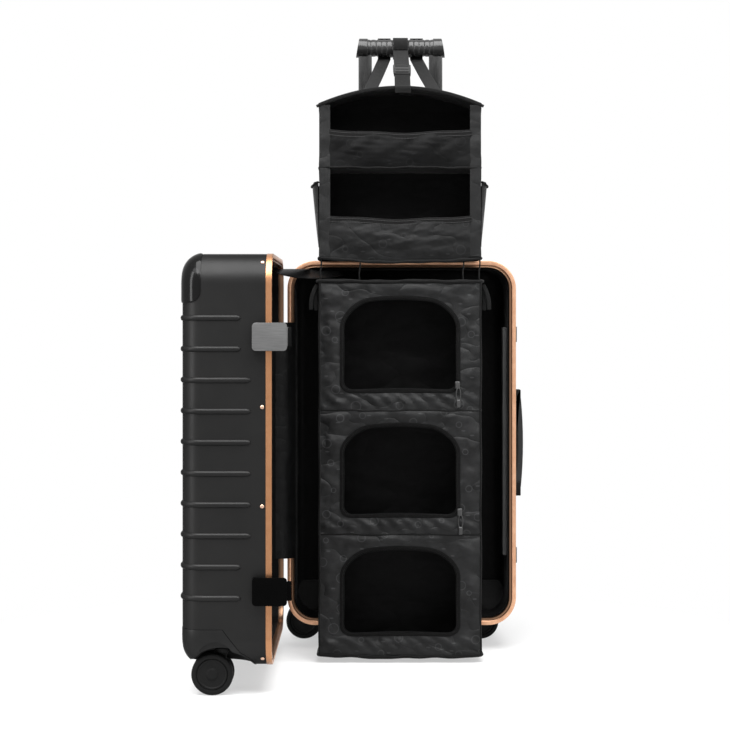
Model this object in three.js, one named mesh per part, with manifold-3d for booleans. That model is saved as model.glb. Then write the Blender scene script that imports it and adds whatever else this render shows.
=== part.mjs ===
import * as THREE from 'three';
import { mergeVertices } from 'three/addons/utils/BufferGeometryUtils.js';
import Module from 'manifold-3d';

// A carry-on suitcase with a metal frame, standing open on its casters, with a fabric shelf
// organizer hung from its trolley handle. Millimetres, +Z up, the viewer looks along +Y.
// Case frame: X = 0 on the middle of the base half, Y = 0 on its mating plane, Z = 0 on the floor.
// The lid is drawn closed in the case frame and then swung open about the hinge axis.

const wasm = await Module();
wasm.setup();

// Clearances shared by all pieces
const gap = 0.3;
const overrun = 3;
const smallestEdge = 0.02;

// Driving sizes of the two pressed shells
const shell = {
  width: 326,
  height: 520,
  floorGap: 36.6,
  baseDepth: 145,
  lidDepth: 114,
  cornerRadius: 39,
  edgeRadius: 27,
  wall: 1.2,
  matingGap: 0.5,
  smallestRadius: 2,
};
const halfWidth = shell.width / 2;
const halfHeight = shell.height / 2;
const caseBottom = shell.floorGap;
const caseTop = shell.floorGap + shell.height;
const caseMiddle = (caseBottom + caseTop) / 2;
const cornerSteps = 6;
const edgeSteps = 4;

// Pressed ribs, which run round the outer face and onto both side walls
const rib = {
  rows: 10,
  lowMargin: 88.4,
  highMargin: 81.05,
  width: 6,
  height: 2.4,
  sink: 1,
  taper: 5,
  shortStart: 38.5,
  longStart: 26,
  shortRows: 2,
};
const ribSectionShares = [[-0.5, 0], [-0.38, 0.75], [0, 1], [0.38, 0.75], [0.5, 0]];
const ribEndShare = -0.15;

// Frame rail round each mouth, seated over the shell's edge and riveted through it
const rail = {
  proud: 0.6,
  depth: 7.6,
  band: 6.4,
  groove: 1.5,
  grooveDepth: 2.5,
  face: 9,
  lipDepth: 10,
  flange: 1.6,
  flangeDepth: 18,
};
const rivet = { depth: 12, radius: 2.4, head: 0.9, shank: 1.2, sides: 8, heights: [364, 240] };

// Fabric linings
const lining = { inset: 9.4, thickness: 1.2, mouth: 7, baseBack: 96, lidBack: 110 };

// Corner caps on the top outer corners
const cap = { thickness: 1.3, width: 45, height: 62, depth: 25 };

// Wheel housings, casters
const housing = {
  height: 49,
  topLength: 52,
  shoulderHeight: 17.4,
  shoulderLength: 76,
  footLength: 79,
  width: 81,
};
const caster = {
  inset: 32,
  baseBack: 38,
  lidBack: 50,
  wheelRadius: 26.5,
  wheelSides: 24,
  roundSides: 12,
  drumSides: 32,
  trail: 12,
  discWidth: 11,
  discGap: 10,
  rimChamfer: 1.6,
  hubRadius: 17,
  hubDish: 1.2,
  axleRadius: 3.5,
  forkClearance: 0.5,
  forkEyeRadius: 12,
  plateTop: 54.5,
  crownRadius: 10,
  crownHeight: 4,
  stemRadius: 5,
  stemTop: 74,
  wellRadius: 41.5,
  wellTop: 64,
  wellWall: 2,
  archCentre: 43,
  archHalf: 26.7,
  archTop: 70.5,
  archDepth: 11,
};
const wellShares = [[0, 1], [0.6, 0.97], [0.88, 0.84], [1, 0.63], [1, 0.2]];

// Long hinge down the left side
const hinge = {
  offset: 5,
  bottom: 150,
  length: 300,
  knuckles: 5,
  barrelRadius: 3.5,
  pinRadius: 1.5,
  leafThickness: 1.5,
  leafWidth: 24,
  leafStart: 4.2,
  lap: 1,
  sides: 12,
};
const hingeX = -halfWidth - hinge.offset;
const openAngle = -Math.PI / 2;

// Latches on the free side of the lid and their keepers on the base
const latch = {
  heights: [452, 135],
  back: 24.4,
  coverLength: 43.5,
  coverHeight: 35,
  coverThickness: 3.4,
  cornerRadius: 4.5,
  plate: 1.3,
  bodyHeight: 33,
  bodyLength: 16,
  pivotBack: 20.4,
  pivotLift: 5.6,
  coverLift: 9.6,
  earRadius: 3.4,
  earWidth: 3,
  pinRadius: 1.6,
  lugWidth: 4,
  clawWidth: 24,
  clawThickness: 2.6,
  clawLift: 3.4,
  clawReach: 24,
  hookLength: 4.5,
  sides: 10,
};
const keeper = { start: 9.5, length: 9, height: 22, thickness: 2.2 };

// Telescopic trolley handle: a fixed outer pair, a middle pair and an inner pair with the grip
const trolley = {
  y: 108,
  housingClear: 16.1,
  outerWidth: 27,
  outerDepth: 19,
  wall: 1.2,
  fit: 0.6,
  footHeight: 10,
  footOverlap: 4,
  outerTopDrop: 3,
  stage: 148,
  middleTopRise: 3,
  middleBottomRise: 4,
  gripRadius: 12.8,
  capRadius: 14.2,
  gripOverhang: 13.6,
  capWidth: 18,
  gripZ: 877.5,
  gripSides: 16,
  innerBottomRise: 2,
};
const bezel = { overhang: 20.6, depth: 30, thickness: 3.4, holeFit: 0.5, cornerRadius: 6 };
const button = { lengthShare: 0.4, depth: 10, height: 8, proud: 0.8, travel: 3, fit: 0.4 };

// Pull-out carry handle on the right side wall and the strip that backs it inside
const carry = {
  y: 70,
  z: 293,
  padLength: 155,
  padWidth: 24,
  padThickness: 1.5,
  endLength: 20,
  endHeight: 12,
  gripThickness: 9,
  gripWidth: 17,
  gripLift: 16,
  bow: 3.2,
  legLength: 8,
  fit: 0.4,
  padClear: 1.5,
};
const backingStrip = { thickness: 6, y: 22, width: 30, bottom: 133, height: 329 };

// Hanging shelf organizer
const organizer = {
  offset: -4,
  boardHalf: 104,
  boardBack: -8,
  boardFront: -88,
  boardThickness: 3,
  sleeveHalf: 111.5,
  sleeveBack: -6.5,
  sleeveFront: -96,
  fabric: 1.4,
  topZ: 769,
  apexRise: 24,
  shelfZ: 683,
  floorZ: 560,
  lowerTopZ: 526,
  middleZ: 348,
  lowerZ: 177,
  bottomZ: 11,
  edgeStrip: 15,
  cordRadius: 1.2,
  cordSides: 6,
  cordLap: 6,
  archSteps: 10,
};
const cordShares = [-0.98, -0.5, 0.78, 0.98];
const pocketHemHeights = [735, 616];
const zipOpening = {
  half: 82.5,
  topRadius: 40,
  bottomRadius: 14,
  steps: 5,
  topMargins: [24, 18, 17],
  bottomMargins: [25, 24, 27],
};
const sidePocket = { flare: 8, top: 663, bottom: 574, back: -20, front: -84, thickness: 1.4 };

// Webbing straps and their buckle
const webbing = { thickness: 1.4, width: 22, sideWidth: 19, loopLift: 1.6, loopSteps: 14, tail: 9 };
const buckle = { width: 25, length: 42, thickness: 8, y: -25, z: 826, slope: 0.42 };
const strapEndGap = 0.4;
const loopStartShare = 1.06;
const loopEndShare = -0.88;

// Fabric flap over the hinge and the stay across the top corner
const flap = { bottom: 133, top: 469, thickness: 1 };
const flapShares = [0.72, 0.3];
const stay = { drop: 12.6, thickness: 1.4, lidReach: 78, baseReach: 48, inset: 12 };

const palette = {
  shellPaint: { color: 0x343434, roughness: 0.45, metalness: 0.6 },
  frameMetal: { color: 0xd9a184, roughness: 0.3, metalness: 0.9 },
  lining: { color: 0x0d0d0e, roughness: 0.8, metalness: 0 },
  glossCap: { color: 0x161616, roughness: 0.15, metalness: 0 },
  plastic: { color: 0x1d1d1e, roughness: 0.5, metalness: 0 },
  tyre: { color: 0x202021, roughness: 0.7, metalness: 0 },
  satinMetal: { color: 0x7b7b7b, roughness: 0.35, metalness: 0.8 },
  blackMetal: { color: 0x151515, roughness: 0.35, metalness: 0.6 },
  tube: { color: 0x9a9a9c, roughness: 0.3, metalness: 0.9 },
  fabric: { color: 0x2f2f31, roughness: 0.75, metalness: 0 },
  webbing: { color: 0x29292b, roughness: 0.8, metalness: 0 },
};

// Turns a closed geometry into a solid, with its faces outwards
function solid(geometry) {
  for (const name of ['normal', 'uv', 'color']) geometry.deleteAttribute(name);
  const merged = mergeVertices(geometry);
  const positions = merged.getAttribute('position').array;
  return solidOf(Float32Array.from(positions), Uint32Array.from(merged.index.array));
}

function solidOf(vertProperties, triVerts) {
  const corner = (index) => new THREE.Vector3().fromArray(vertProperties, 3 * index);
  let volume = 0;
  for (let i = 0; i < triVerts.length; i += 3) {
    const [a, b, c] = [corner(triVerts[i]), corner(triVerts[i + 1]), corner(triVerts[i + 2])];
    volume += a.dot(b.cross(c));
  }
  if (volume < 0) triVerts.reverse();
  return new wasm.Manifold(new wasm.Mesh({ numProp: 3, vertProperties, triVerts }));
}

// A skin through rings of equal point count, with flat ends or joined end to start
function loft(rings, closed = false) {
  const count = rings[0].length;
  const positions = rings.flat().flatMap((point) => point.toArray());
  const faces = [];
  const spans = closed ? rings.length : rings.length - 1;
  for (let r = 0; r < spans; r++) {
    const near = r * count;
    const far = ((r + 1) % rings.length) * count;
    for (let i = 0; i < count; i++) {
      const j = (i + 1) % count;
      faces.push(near + i, near + j, far + j, near + i, far + j, far + i);
    }
  }
  if (!closed) {
    const first = meanOf(rings[0]);
    const last = meanOf(rings.at(-1));
    const start = (rings.length - 1) * count;
    const centre = rings.length * count;
    positions.push(...first.toArray(), ...last.toArray());
    for (let i = 0; i < count; i++) {
      const j = (i + 1) % count;
      faces.push(centre, j, i, centre + 1, start + i, start + j);
    }
  }
  return solidOf(Float32Array.from(positions), Uint32Array.from(faces));
}

function meanOf(points) {
  const sum = points.reduce((total, point) => total.add(point), new THREE.Vector3());
  return sum.divideScalar(points.length);
}

function box(x, y, z) {
  const geometry = new THREE.BoxGeometry(x[1] - x[0], y[1] - y[0], z[1] - z[0]);
  geometry.translate((x[0] + x[1]) / 2, (y[0] + y[1]) / 2, (z[0] + z[1]) / 2);
  return solid(geometry);
}

// A rod along one axis: centre gives the place of its axis, span its two ends
function rod(axis, radius, centre, span, sides) {
  const geometry = new THREE.CylinderGeometry(radius, radius, span[1] - span[0], sides);
  const middle = (span[0] + span[1]) / 2;
  if (axis === 'x') geometry.rotateZ(Math.PI / 2).translate(middle, centre[0], centre[1]);
  if (axis === 'y') geometry.translate(centre[0], middle, centre[1]);
  if (axis === 'z') geometry.rotateX(Math.PI / 2).translate(centre[0], centre[1], middle);
  return solid(geometry);
}

// An outline pushed along one axis: its points are (y, z) along x, (x, z) along y, (x, y) along z
function prism(axis, outline, span) {
  const shape = new THREE.Shape(outline.map(([u, v]) => new THREE.Vector2(u, v)));
  const geometry = new THREE.ExtrudeGeometry(shape, { depth: span[1] - span[0], bevelEnabled: false });
  geometry.translate(0, 0, span[0]);
  const x = new THREE.Vector3(1, 0, 0);
  const y = new THREE.Vector3(0, 1, 0);
  const z = new THREE.Vector3(0, 0, 1);
  const bases = { x: [y, z, x], y: [x, z, y], z: [x, y, z] };
  geometry.applyMatrix4(new THREE.Matrix4().makeBasis(...bases[axis]));
  return solid(geometry);
}

function joined(solids) {
  return solids.reduce((whole, next) => whole.add(next));
}

function without(whole, cuts) {
  return cuts.reduce((rest, cut) => rest.subtract(cut), whole);
}

// A flat band along a path, its width along one direction, its thickness across the path
function ribbon(path, across, width, thickness) {
  const side = across.clone().normalize().multiplyScalar(width / 2);
  const rings = path.map((point, i) => {
    const before = path[Math.max(i - 1, 0)];
    const after = path[Math.min(i + 1, path.length - 1)];
    const lift = after.clone().sub(before).cross(side).normalize().multiplyScalar(thickness / 2);
    return [
      point.clone().sub(side).sub(lift),
      point.clone().add(side).sub(lift),
      point.clone().add(side).add(lift),
      point.clone().sub(side).add(lift),
    ];
  });
  return loft(rings);
}

function roundedRect(halfX, halfZ, radius, steps) {
  const points = [];
  const corners = [[1, 1], [-1, 1], [-1, -1], [1, -1]];
  corners.forEach(([sideX, sideZ], quarter) => {
    for (let i = 0; i <= steps; i++) {
      const angle = (quarter + i / steps) * (Math.PI / 2);
      points.push([
        sideX * (halfX - radius) + radius * Math.cos(angle),
        sideZ * (halfZ - radius) + radius * Math.sin(angle),
      ]);
    }
  });
  return points;
}

// The two halves: side +1 is the base, whose depth runs along +Y, side -1 is the closed lid
const base = { name: 'base', side: 1, depth: shell.baseDepth, mate: 0 };
const lid = { name: 'lid', side: -1, depth: shell.lidDepth, mate: shell.matingGap };

function depthY(half, depth) {
  return half.side * (depth + half.mate);
}

function spanY(half, near, far) {
  return [depthY(half, near), depthY(half, far)].sort((a, b) => a - b);
}

// A ring round the case at one depth, drawn in from the shell's outline by an inset
function caseRing(half, inset, depth) {
  const radius = Math.max(shell.cornerRadius - inset, shell.smallestRadius);
  return roundedRect(halfWidth - inset, halfHeight - inset, radius, cornerSteps)
    .map(([x, z]) => new THREE.Vector3(x, depthY(half, depth), caseMiddle + z));
}

// The filled form of a half, drawn in by an inset, with its rounded outer edge
function halfForm(half, inset, mouth, back) {
  const radius = Math.max(shell.edgeRadius - inset, shell.smallestRadius);
  const rings = [caseRing(half, inset, mouth)];
  for (let k = 0; k <= edgeSteps; k++) {
    const angle = (k / edgeSteps) * (Math.PI / 2);
    const inward = radius * (1 - Math.cos(angle));
    rings.push(caseRing(half, inset + inward, back - radius + radius * Math.sin(angle)));
  }
  return loft(rings);
}

function ribRows() {
  const pitch = (shell.height - rib.lowMargin - rib.highMargin) / (rib.rows - 1);
  return Array.from({ length: rib.rows }, (_, row) => ({
    z: caseBottom + rib.lowMargin + row * pitch,
    start: Math.min(row, rib.rows - 1 - row) < rib.shortRows ? rib.shortStart : rib.longStart,
  }));
}

// One rib: its section is carried from one side wall over the outer face to the other
function ribSolid(half, { z, start }) {
  const halfStep = Math.PI / (4 * edgeSteps);
  const reach = shell.edgeRadius / Math.cos(halfStep);
  const stops = [
    { x: halfWidth, depth: start, turn: 0, rise: ribEndShare },
    { x: halfWidth, depth: start + rib.taper, turn: 0, rise: 1 },
  ];
  for (let k = 0; k < edgeSteps; k++) {
    const turn = (2 * k + 1) * halfStep;
    stops.push({
      x: halfWidth - shell.edgeRadius + reach * Math.cos(turn),
      depth: half.depth - shell.edgeRadius + reach * Math.sin(turn),
      turn,
      rise: 1,
    });
  }
  const mirrored = stops.toReversed().map((stop) => ({ ...stop, x: -stop.x, turn: Math.PI - stop.turn }));
  const rings = [...stops, ...mirrored].map(({ x, depth, turn, rise }) => ribSectionShares.map(([across, up]) => {
    const lift = up * (rib.sink + rib.height * rise) - rib.sink;
    const [dx, dd] = [lift * Math.cos(turn), lift * Math.sin(turn)];
    return new THREE.Vector3(x + dx, depthY(half, depth + dd), z + across * rib.width);
  }));
  return loft(rings);
}

function swivelPlace(half, sideX) {
  const back = half === base ? caster.baseBack : caster.lidBack;
  return { x: sideX * (halfWidth - caster.inset), y: depthY(half, half.depth - back) };
}

// The corner block at the bottom that a caster sits in, with a drum round its swivelling wheels
function housingBlock(half, sideX, grow) {
  const outer = half.depth + overrun;
  const outline = [
    [outer, caseBottom - overrun],
    [outer, caseBottom + housing.height + grow],
    [half.depth - housing.topLength - grow, caseBottom + housing.height + grow],
    [half.depth - housing.shoulderLength - grow, caseBottom + housing.shoulderHeight + grow],
    [half.depth - housing.footLength - grow, caseBottom - overrun],
  ].map(([depth, z]) => [depthY(half, depth), z]);
  const inner = sideX * (halfWidth - housing.width - grow);
  const block = prism('x', outline, [sideX * (halfWidth + overrun), inner].sort((a, b) => a - b));
  const { x, y } = swivelPlace(half, sideX);
  const drumTop = caster.wellTop + caster.wellWall + grow;
  const drumRadius = caster.wellRadius + caster.wellWall + grow;
  return block.add(rod('z', drumRadius, [x, y], [caseBottom - overrun, drumTop], caster.drumSides));
}

// Rivets: at each corner on the diagonal, and two on the free side, across from the hinge
function rivetPlaces() {
  const diagonal = Math.SQRT1_2;
  const places = [];
  for (const sideX of [-1, 1]) {
    for (const sideZ of [-1, 1]) {
      places.push({
        x: sideX * (halfWidth - shell.cornerRadius * (1 - diagonal)),
        z: caseMiddle + sideZ * (halfHeight - shell.cornerRadius * (1 - diagonal)),
        normal: [sideX * diagonal, sideZ * diagonal],
      });
    }
  }
  for (const z of rivet.heights) places.push({ x: halfWidth, z, normal: [1, 0] });
  return places;
}

function rivetRod(half, place, radius, from, to) {
  const geometry = new THREE.CylinderGeometry(radius, radius, to - from, rivet.sides);
  geometry.rotateY(Math.PI / rivet.sides).translate(0, (from + to) / 2, 0);
  const [nx, nz] = place.normal;
  geometry.rotateZ(-Math.PI / 2).rotateY(-Math.atan2(nz, nx));
  geometry.translate(place.x, depthY(half, rivet.depth), place.z);
  return solid(geometry);
}

function shellPiece(half) {
  const outer = halfForm(half, 0, rail.depth + gap, half.depth);
  const inner = halfForm(half, shell.wall, -overrun, half.depth - shell.wall);
  const skin = outer.subtract(inner);
  const ribbed = joined([skin, ...ribRows().map((row) => ribSolid(half, row))]);
  const hollow = inner.intersect(ribbed);
  const cuts = [-1, 1].map((sideX) => housingBlock(half, sideX, gap));
  for (const place of rivetPlaces()) {
    cuts.push(rivetRod(half, place, rivet.shank + gap, -shell.wall - overrun, overrun));
  }
  return without(ribbed.subtract(hollow), cuts);
}

function railPiece(half) {
  const seat = shell.wall + gap;
  const section = [
    [-rail.proud, 0],
    [rail.band, 0],
    [rail.band, rail.grooveDepth],
    [rail.band + rail.groove, rail.grooveDepth],
    [rail.band + rail.groove, 0],
    [rail.face, 0],
    [rail.face, rail.lipDepth],
    [seat + rail.flange, rail.lipDepth],
    [seat + rail.flange, rail.flangeDepth],
    [seat, rail.flangeDepth],
    [seat, rail.depth],
    [-rail.proud, rail.depth],
  ];
  const loop = loft(section.map(([inset, depth]) => caseRing(half, inset, depth)), true);
  const rivets = rivetPlaces().flatMap((place) => [
    rivetRod(half, place, rivet.shank, -seat - rail.flange / 2, gap + rivet.head / 2),
    rivetRod(half, place, rivet.radius, gap, gap + rivet.head),
  ]);
  return joined([loop, ...rivets]);
}

function liningPiece(half, back) {
  const blocks = (grow) => [-1, 1].map((sideX) => housingBlock(half, sideX, grow));
  const outer = without(halfForm(half, lining.inset, lining.mouth, back), blocks(gap));
  const insideInset = lining.inset + lining.thickness;
  const inside = without(
    halfForm(half, insideInset, -overrun, back - lining.thickness),
    blocks(gap + lining.thickness),
  );
  return outer.subtract(inside);
}

function capPiece(half, sideX) {
  const over = halfForm(half, -gap - cap.thickness, half.depth - cap.depth - overrun, half.depth + gap + cap.thickness);
  const under = halfForm(half, -gap, half.depth - cap.depth - 2 * overrun, half.depth + gap);
  const corner = box(
    [sideX * (halfWidth - cap.width), sideX * (halfWidth + overrun)].sort((a, b) => a - b),
    spanY(half, half.depth - cap.depth, half.depth + overrun),
    [caseTop - cap.height, caseTop + overrun],
  );
  return over.subtract(under).intersect(corner);
}

// Casters, drawn about their own swivel axis with the wheels trailing along -X
function housingPiece(half, sideX) {
  const swivel = swivelPlace(half, sideX);
  const profile = wellShares.map(([r, z]) => new THREE.Vector2(r * caster.wellRadius, z * caster.wellTop));
  const floor = profile.at(-1).y;
  const turned = Math.PI / caster.wheelSides;
  const well = new THREE.LatheGeometry([...profile, new THREE.Vector2(0, floor)], caster.wheelSides, turned);
  well.rotateX(Math.PI / 2).translate(swivel.x, swivel.y, 0);
  const bore = rod('z', caster.stemRadius + gap, [swivel.x, swivel.y],
    [caster.wellTop - overrun, caster.stemTop + gap], caster.roundSides);
  const form = halfForm(half, 0, rail.depth, half.depth);
  return without(form.intersect(housingBlock(half, sideX, 0)), [solid(well), bore, wheelArch(half, sideX)]);
}

// The arched opening over the wheels in the side wall
function wheelArch(half, sideX) {
  const middle = half.depth - caster.archCentre;
  const outline = Array.from({ length: caster.roundSides + 1 }, (_, i) => {
    const angle = (i / caster.roundSides) * Math.PI;
    return [
      depthY(half, middle + caster.archHalf * Math.cos(angle)),
      caseBottom + (caster.archTop - caseBottom) * Math.sin(angle),
    ];
  });
  const foot = caseBottom - overrun;
  outline.push([depthY(half, middle - caster.archHalf), foot], [depthY(half, middle + caster.archHalf), foot]);
  const span = [sideX * (halfWidth - caster.archDepth), sideX * (halfWidth + overrun)];
  return prism('x', outline, span.sort((a, b) => a - b));
}

function forkPiece() {
  const eye = roundOutline(-caster.trail, caster.wheelRadius, caster.forkEyeRadius, caster.roundSides);
  const half = caster.discGap / 2 - caster.forkClearance;
  const plate = prism('y', eye, [-half, half]);
  const neck = prism('y', [
    [-caster.trail - caster.forkEyeRadius * Math.SQRT1_2, caster.wheelRadius],
    [-caster.trail + caster.forkEyeRadius, caster.wheelRadius],
    [caster.crownRadius * Math.SQRT1_2, caster.plateTop],
    [-caster.crownRadius, caster.plateTop],
  ], [-half, half]);
  const crownTop = caster.plateTop + caster.crownHeight;
  const lap = caster.crownHeight / 2;
  const crown = rod('z', caster.crownRadius, [0, 0], [caster.plateTop - lap / 2, crownTop], caster.roundSides);
  const stem = rod('z', caster.stemRadius, [0, 0], [crownTop - lap, caster.stemTop], caster.roundSides);
  const bore = rod('y', caster.axleRadius + gap, [-caster.trail, caster.wheelRadius],
    [-caster.discGap, caster.discGap], caster.roundSides);
  return joined([plate, neck, crown, stem]).subtract(bore);
}

function roundOutline(u, v, radius, sides) {
  return Array.from({ length: sides }, (_, i) => {
    const angle = (i / sides) * 2 * Math.PI;
    return [u + radius * Math.cos(angle), v + radius * Math.sin(angle)];
  });
}

// The twin wheels and their axle, one turned solid that rests on a flat of its tread
function wheelPiece() {
  const across = caster.wheelRadius / Math.cos(Math.PI / caster.wheelSides);
  const inner = caster.discGap / 2;
  const outer = inner + caster.discWidth;
  const rim = across - caster.rimChamfer;
  const right = [
    [caster.axleRadius, inner],
    [across, inner],
    [across, outer - caster.rimChamfer],
    [rim, outer],
    [caster.hubRadius, outer],
    [caster.hubRadius, outer - caster.hubDish],
    [0, outer - caster.hubDish],
  ];
  const left = right.toReversed().map(([radius, along]) => [radius, -along]);
  const profile = [...left, ...right].map(([radius, along]) => new THREE.Vector2(radius, along));
  const geometry = new THREE.LatheGeometry(profile, caster.wheelSides, Math.PI / caster.wheelSides);
  geometry.translate(-caster.trail, 0, caster.wheelRadius);
  return solid(geometry);
}

// Long hinge: the base leaf's knuckles are bored, the lid leaf's carry the pin
function hingeLeaf(half) {
  const own = half === base ? 0 : 1;
  const step = hinge.length / hinge.knuckles;
  const face = halfWidth + rail.proud + gap;
  const x = [-face - hinge.leafThickness, -face];
  const solids = [box(x, spanY(half, hinge.leafStart, hinge.leafWidth), [hinge.bottom, hinge.bottom + hinge.length])];
  for (let k = own; k < hinge.knuckles; k += 2) {
    const z = [hinge.bottom + k * step + gap, hinge.bottom + (k + 1) * step - gap];
    const reach = [half.side * hinge.lap, half.side * (hinge.leafStart + hinge.leafThickness)].sort((a, b) => a - b);
    solids.push(rod('z', hinge.barrelRadius, [hingeX, 0], z, hinge.sides));
    solids.push(box(x, reach, z));
  }
  const length = [hinge.bottom, hinge.bottom + hinge.length];
  const past = [length[0] - overrun, length[1] + overrun];
  if (half === lid) return joined([...solids, rod('z', hinge.pinRadius, [hingeX, 0], length, hinge.sides)]);
  return joined(solids).subtract(rod('z', hinge.pinRadius + gap, [hingeX, 0], past, hinge.sides));
}

// Latches, drawn on the right side wall of the closed lid
function latchX(lift) {
  return halfWidth + gap + lift;
}

function latchBody(z) {
  const pivot = [latchX(latch.pivotLift), -latch.pivotBack];
  const plate = box([latchX(0), latchX(latch.plate)],
    [-latch.back, -latch.back + latch.bodyLength],
    [z - latch.bodyHeight / 2, z + latch.bodyHeight / 2]);
  const ears = [-1, 1].flatMap((sideZ) => {
    const outerZ = z + sideZ * (latch.bodyHeight / 2);
    const innerZ = outerZ - sideZ * latch.earWidth;
    const span = [outerZ, innerZ].sort((a, b) => a - b);
    return [
      rod('z', latch.earRadius, pivot, span, latch.sides),
      box([latchX(latch.plate / 2), pivot[0]], [pivot[1] - latch.earRadius, pivot[1] + latch.earRadius], span),
    ];
  });
  const bore = rod('z', latch.pinRadius + gap, pivot, [z - latch.bodyHeight, z + latch.bodyHeight], latch.sides);
  return joined([plate, ...ears]).subtract(bore);
}

function latchLever(z) {
  const pivot = [latchX(latch.pivotLift), -latch.pivotBack];
  const front = -latch.back + latch.coverLength;
  const outline = roundedRect(latch.coverLength / 2, latch.coverHeight / 2, latch.cornerRadius, cornerSteps)
    .map(([y, dz]) => [front - latch.coverLength / 2 + y, z + dz]);
  const coverX = [latchX(latch.coverLift), latchX(latch.coverLift + latch.coverThickness)];
  const cover = prism('x', outline, coverX);
  const pinHalf = latch.bodyHeight / 2 - gap;
  const pin = rod('z', latch.pinRadius, pivot, [z - pinHalf, z + pinHalf], latch.sides);
  const lugHalf = latch.bodyHeight / 2 - latch.earWidth - gap;
  const lugs = [-1, 1].map((sideZ) => box(
    [pivot[0] - latch.pinRadius, coverX[0] + latch.plate],
    [pivot[1] - latch.pinRadius, pivot[1] + latch.pinRadius],
    [z + sideZ * lugHalf, z + sideZ * (lugHalf - latch.lugWidth)].sort((a, b) => a - b),
  ));
  const clawZ = [z - latch.clawWidth / 2, z + latch.clawWidth / 2];
  const clawX = [latchX(latch.clawLift), latchX(latch.clawLift + latch.clawThickness)];
  const claw = box(clawX, [rail.depth / 2, latch.clawReach], clawZ);
  const web = box([clawX[0], coverX[0] + latch.plate], [rail.depth / 2, front - latch.cornerRadius], clawZ);
  const hook = box([latchX(gap), clawX[1]], [latch.clawReach - latch.hookLength, latch.clawReach], clawZ);
  return joined([cover, pin, ...lugs, claw, web, hook]);
}

function keeperPiece(z) {
  return box([latchX(0), latchX(keeper.thickness)], [keeper.start, keeper.start + keeper.length],
    [z - keeper.height / 2, z + keeper.height / 2]);
}

// Trolley handle
const tubeSpread = halfWidth - housing.width - trolley.housingClear - trolley.outerWidth / 2;
const gripHalf = tubeSpread + trolley.gripOverhang;
const bezelHalf = tubeSpread + bezel.overhang;

function stageSize(stage) {
  const shrink = 2 * stage * (trolley.wall + trolley.fit);
  return { width: trolley.outerWidth - shrink, depth: trolley.outerDepth - shrink };
}

// Half the button's length, a share of the room between the inner tubes
function buttonHalf() {
  return button.lengthShare * (tubeSpread - stageSize(2).width / 2);
}

const stageTravel = trolley.stage;
const gripDrop = 2 * stageTravel;
const innerTop = trolley.gripZ - trolley.gripRadius / 2;
const middleRestTop = caseTop + bezel.thickness + trolley.middleTopRise + stageTravel;
const footZ = [caseBottom + shell.wall + gap, caseBottom + shell.wall + gap + trolley.footHeight];
const middleRestBottom = footZ[1] + trolley.middleBottomRise + stageTravel;
const innerRestBottom = footZ[1] + trolley.middleBottomRise + trolley.innerBottomRise + gripDrop;

function tube(sideX, stage, z) {
  const { width, depth } = stageSize(stage);
  const [cx, cy] = [sideX * tubeSpread, trolley.y];
  const block = (w, d, span) => box([cx - w / 2, cx + w / 2], [cy - d / 2, cy + d / 2], span);
  const bore = block(width - 2 * trolley.wall, depth - 2 * trolley.wall, [z[0] - overrun, z[1] + overrun]);
  return block(width, depth, z).subtract(bore);
}

function outerTubes() {
  const { width, depth } = stageSize(0);
  const reach = tubeSpread + width / 2;
  const top = caseTop - shell.wall - trolley.outerTopDrop;
  const foot = box([-reach, reach], [trolley.y - depth / 2, trolley.y + depth / 2], footZ);
  const tubes = [-1, 1].map((sideX) => tube(sideX, 0, [footZ[1] - trolley.footOverlap, top]));
  return joined([foot, ...tubes]);
}

// The filled space of one stage's tubes, grown by a clearance, to cut the holes they pass through
function stageHoles(stage, grow, z) {
  const { width, depth } = stageSize(stage);
  return [-1, 1].map((sideX) => box(
    [sideX * tubeSpread - width / 2 - grow, sideX * tubeSpread + width / 2 + grow],
    [trolley.y - depth / 2 - grow, trolley.y + depth / 2 + grow],
    z,
  ));
}

function bezelPiece() {
  const outline = roundedRect(bezelHalf, bezel.depth / 2, bezel.cornerRadius, cornerSteps)
    .map(([x, y]) => [x, trolley.y + y]);
  const top = caseTop + gap + bezel.thickness;
  const plate = prism('z', outline, [caseTop + gap, top]);
  const collars = stageHoles(1, bezel.holeFit + shell.wall / 2, [caseTop - shell.wall, caseTop + bezel.thickness / 2]);
  return without(joined([plate, ...collars]), stageHoles(1, bezel.holeFit, [caseTop - bezel.depth, top + overrun]));
}

function gripPiece() {
  const inside = gripHalf - trolley.capWidth;
  const profile = [
    [0, -gripHalf],
    [trolley.capRadius, -gripHalf],
    [trolley.capRadius, -inside],
    [trolley.gripRadius, -inside],
    [trolley.gripRadius, inside],
    [trolley.capRadius, inside],
    [trolley.capRadius, gripHalf],
    [0, gripHalf],
  ].map(([radius, along]) => new THREE.Vector2(radius, along));
  const geometry = new THREE.LatheGeometry(profile, trolley.gripSides, Math.PI / trolley.gripSides);
  geometry.rotateZ(Math.PI / 2).translate(0, trolley.y, trolley.gripZ);
  const grown = button.fit;
  const low = trolley.gripZ - trolley.gripRadius;
  const pocket = box(
    [-buttonHalf() - grown, buttonHalf() + grown],
    [trolley.y - button.depth / 2 - grown, trolley.y + button.depth / 2 + grown],
    [low - overrun, low + button.height + button.travel],
  );
  return without(solid(geometry), [pocket, ...stageHoles(2, gap, [low - trolley.capRadius, innerTop + gap])]);
}

function buttonPiece() {
  const low = trolley.gripZ - trolley.gripRadius - button.proud;
  return box([-buttonHalf(), buttonHalf()],
    [trolley.y - button.depth / 2, trolley.y + button.depth / 2], [low, low + button.height]);
}

// Carry handle on the right side wall
function carryPad(grow, thickness) {
  return box([halfWidth + gap - grow, halfWidth + gap + thickness],
    [carry.y - carry.padWidth / 2 - grow, carry.y + carry.padWidth / 2 + grow],
    [carry.z - carry.padLength / 2 - grow, carry.z + carry.padLength / 2 + grow]);
}

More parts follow.
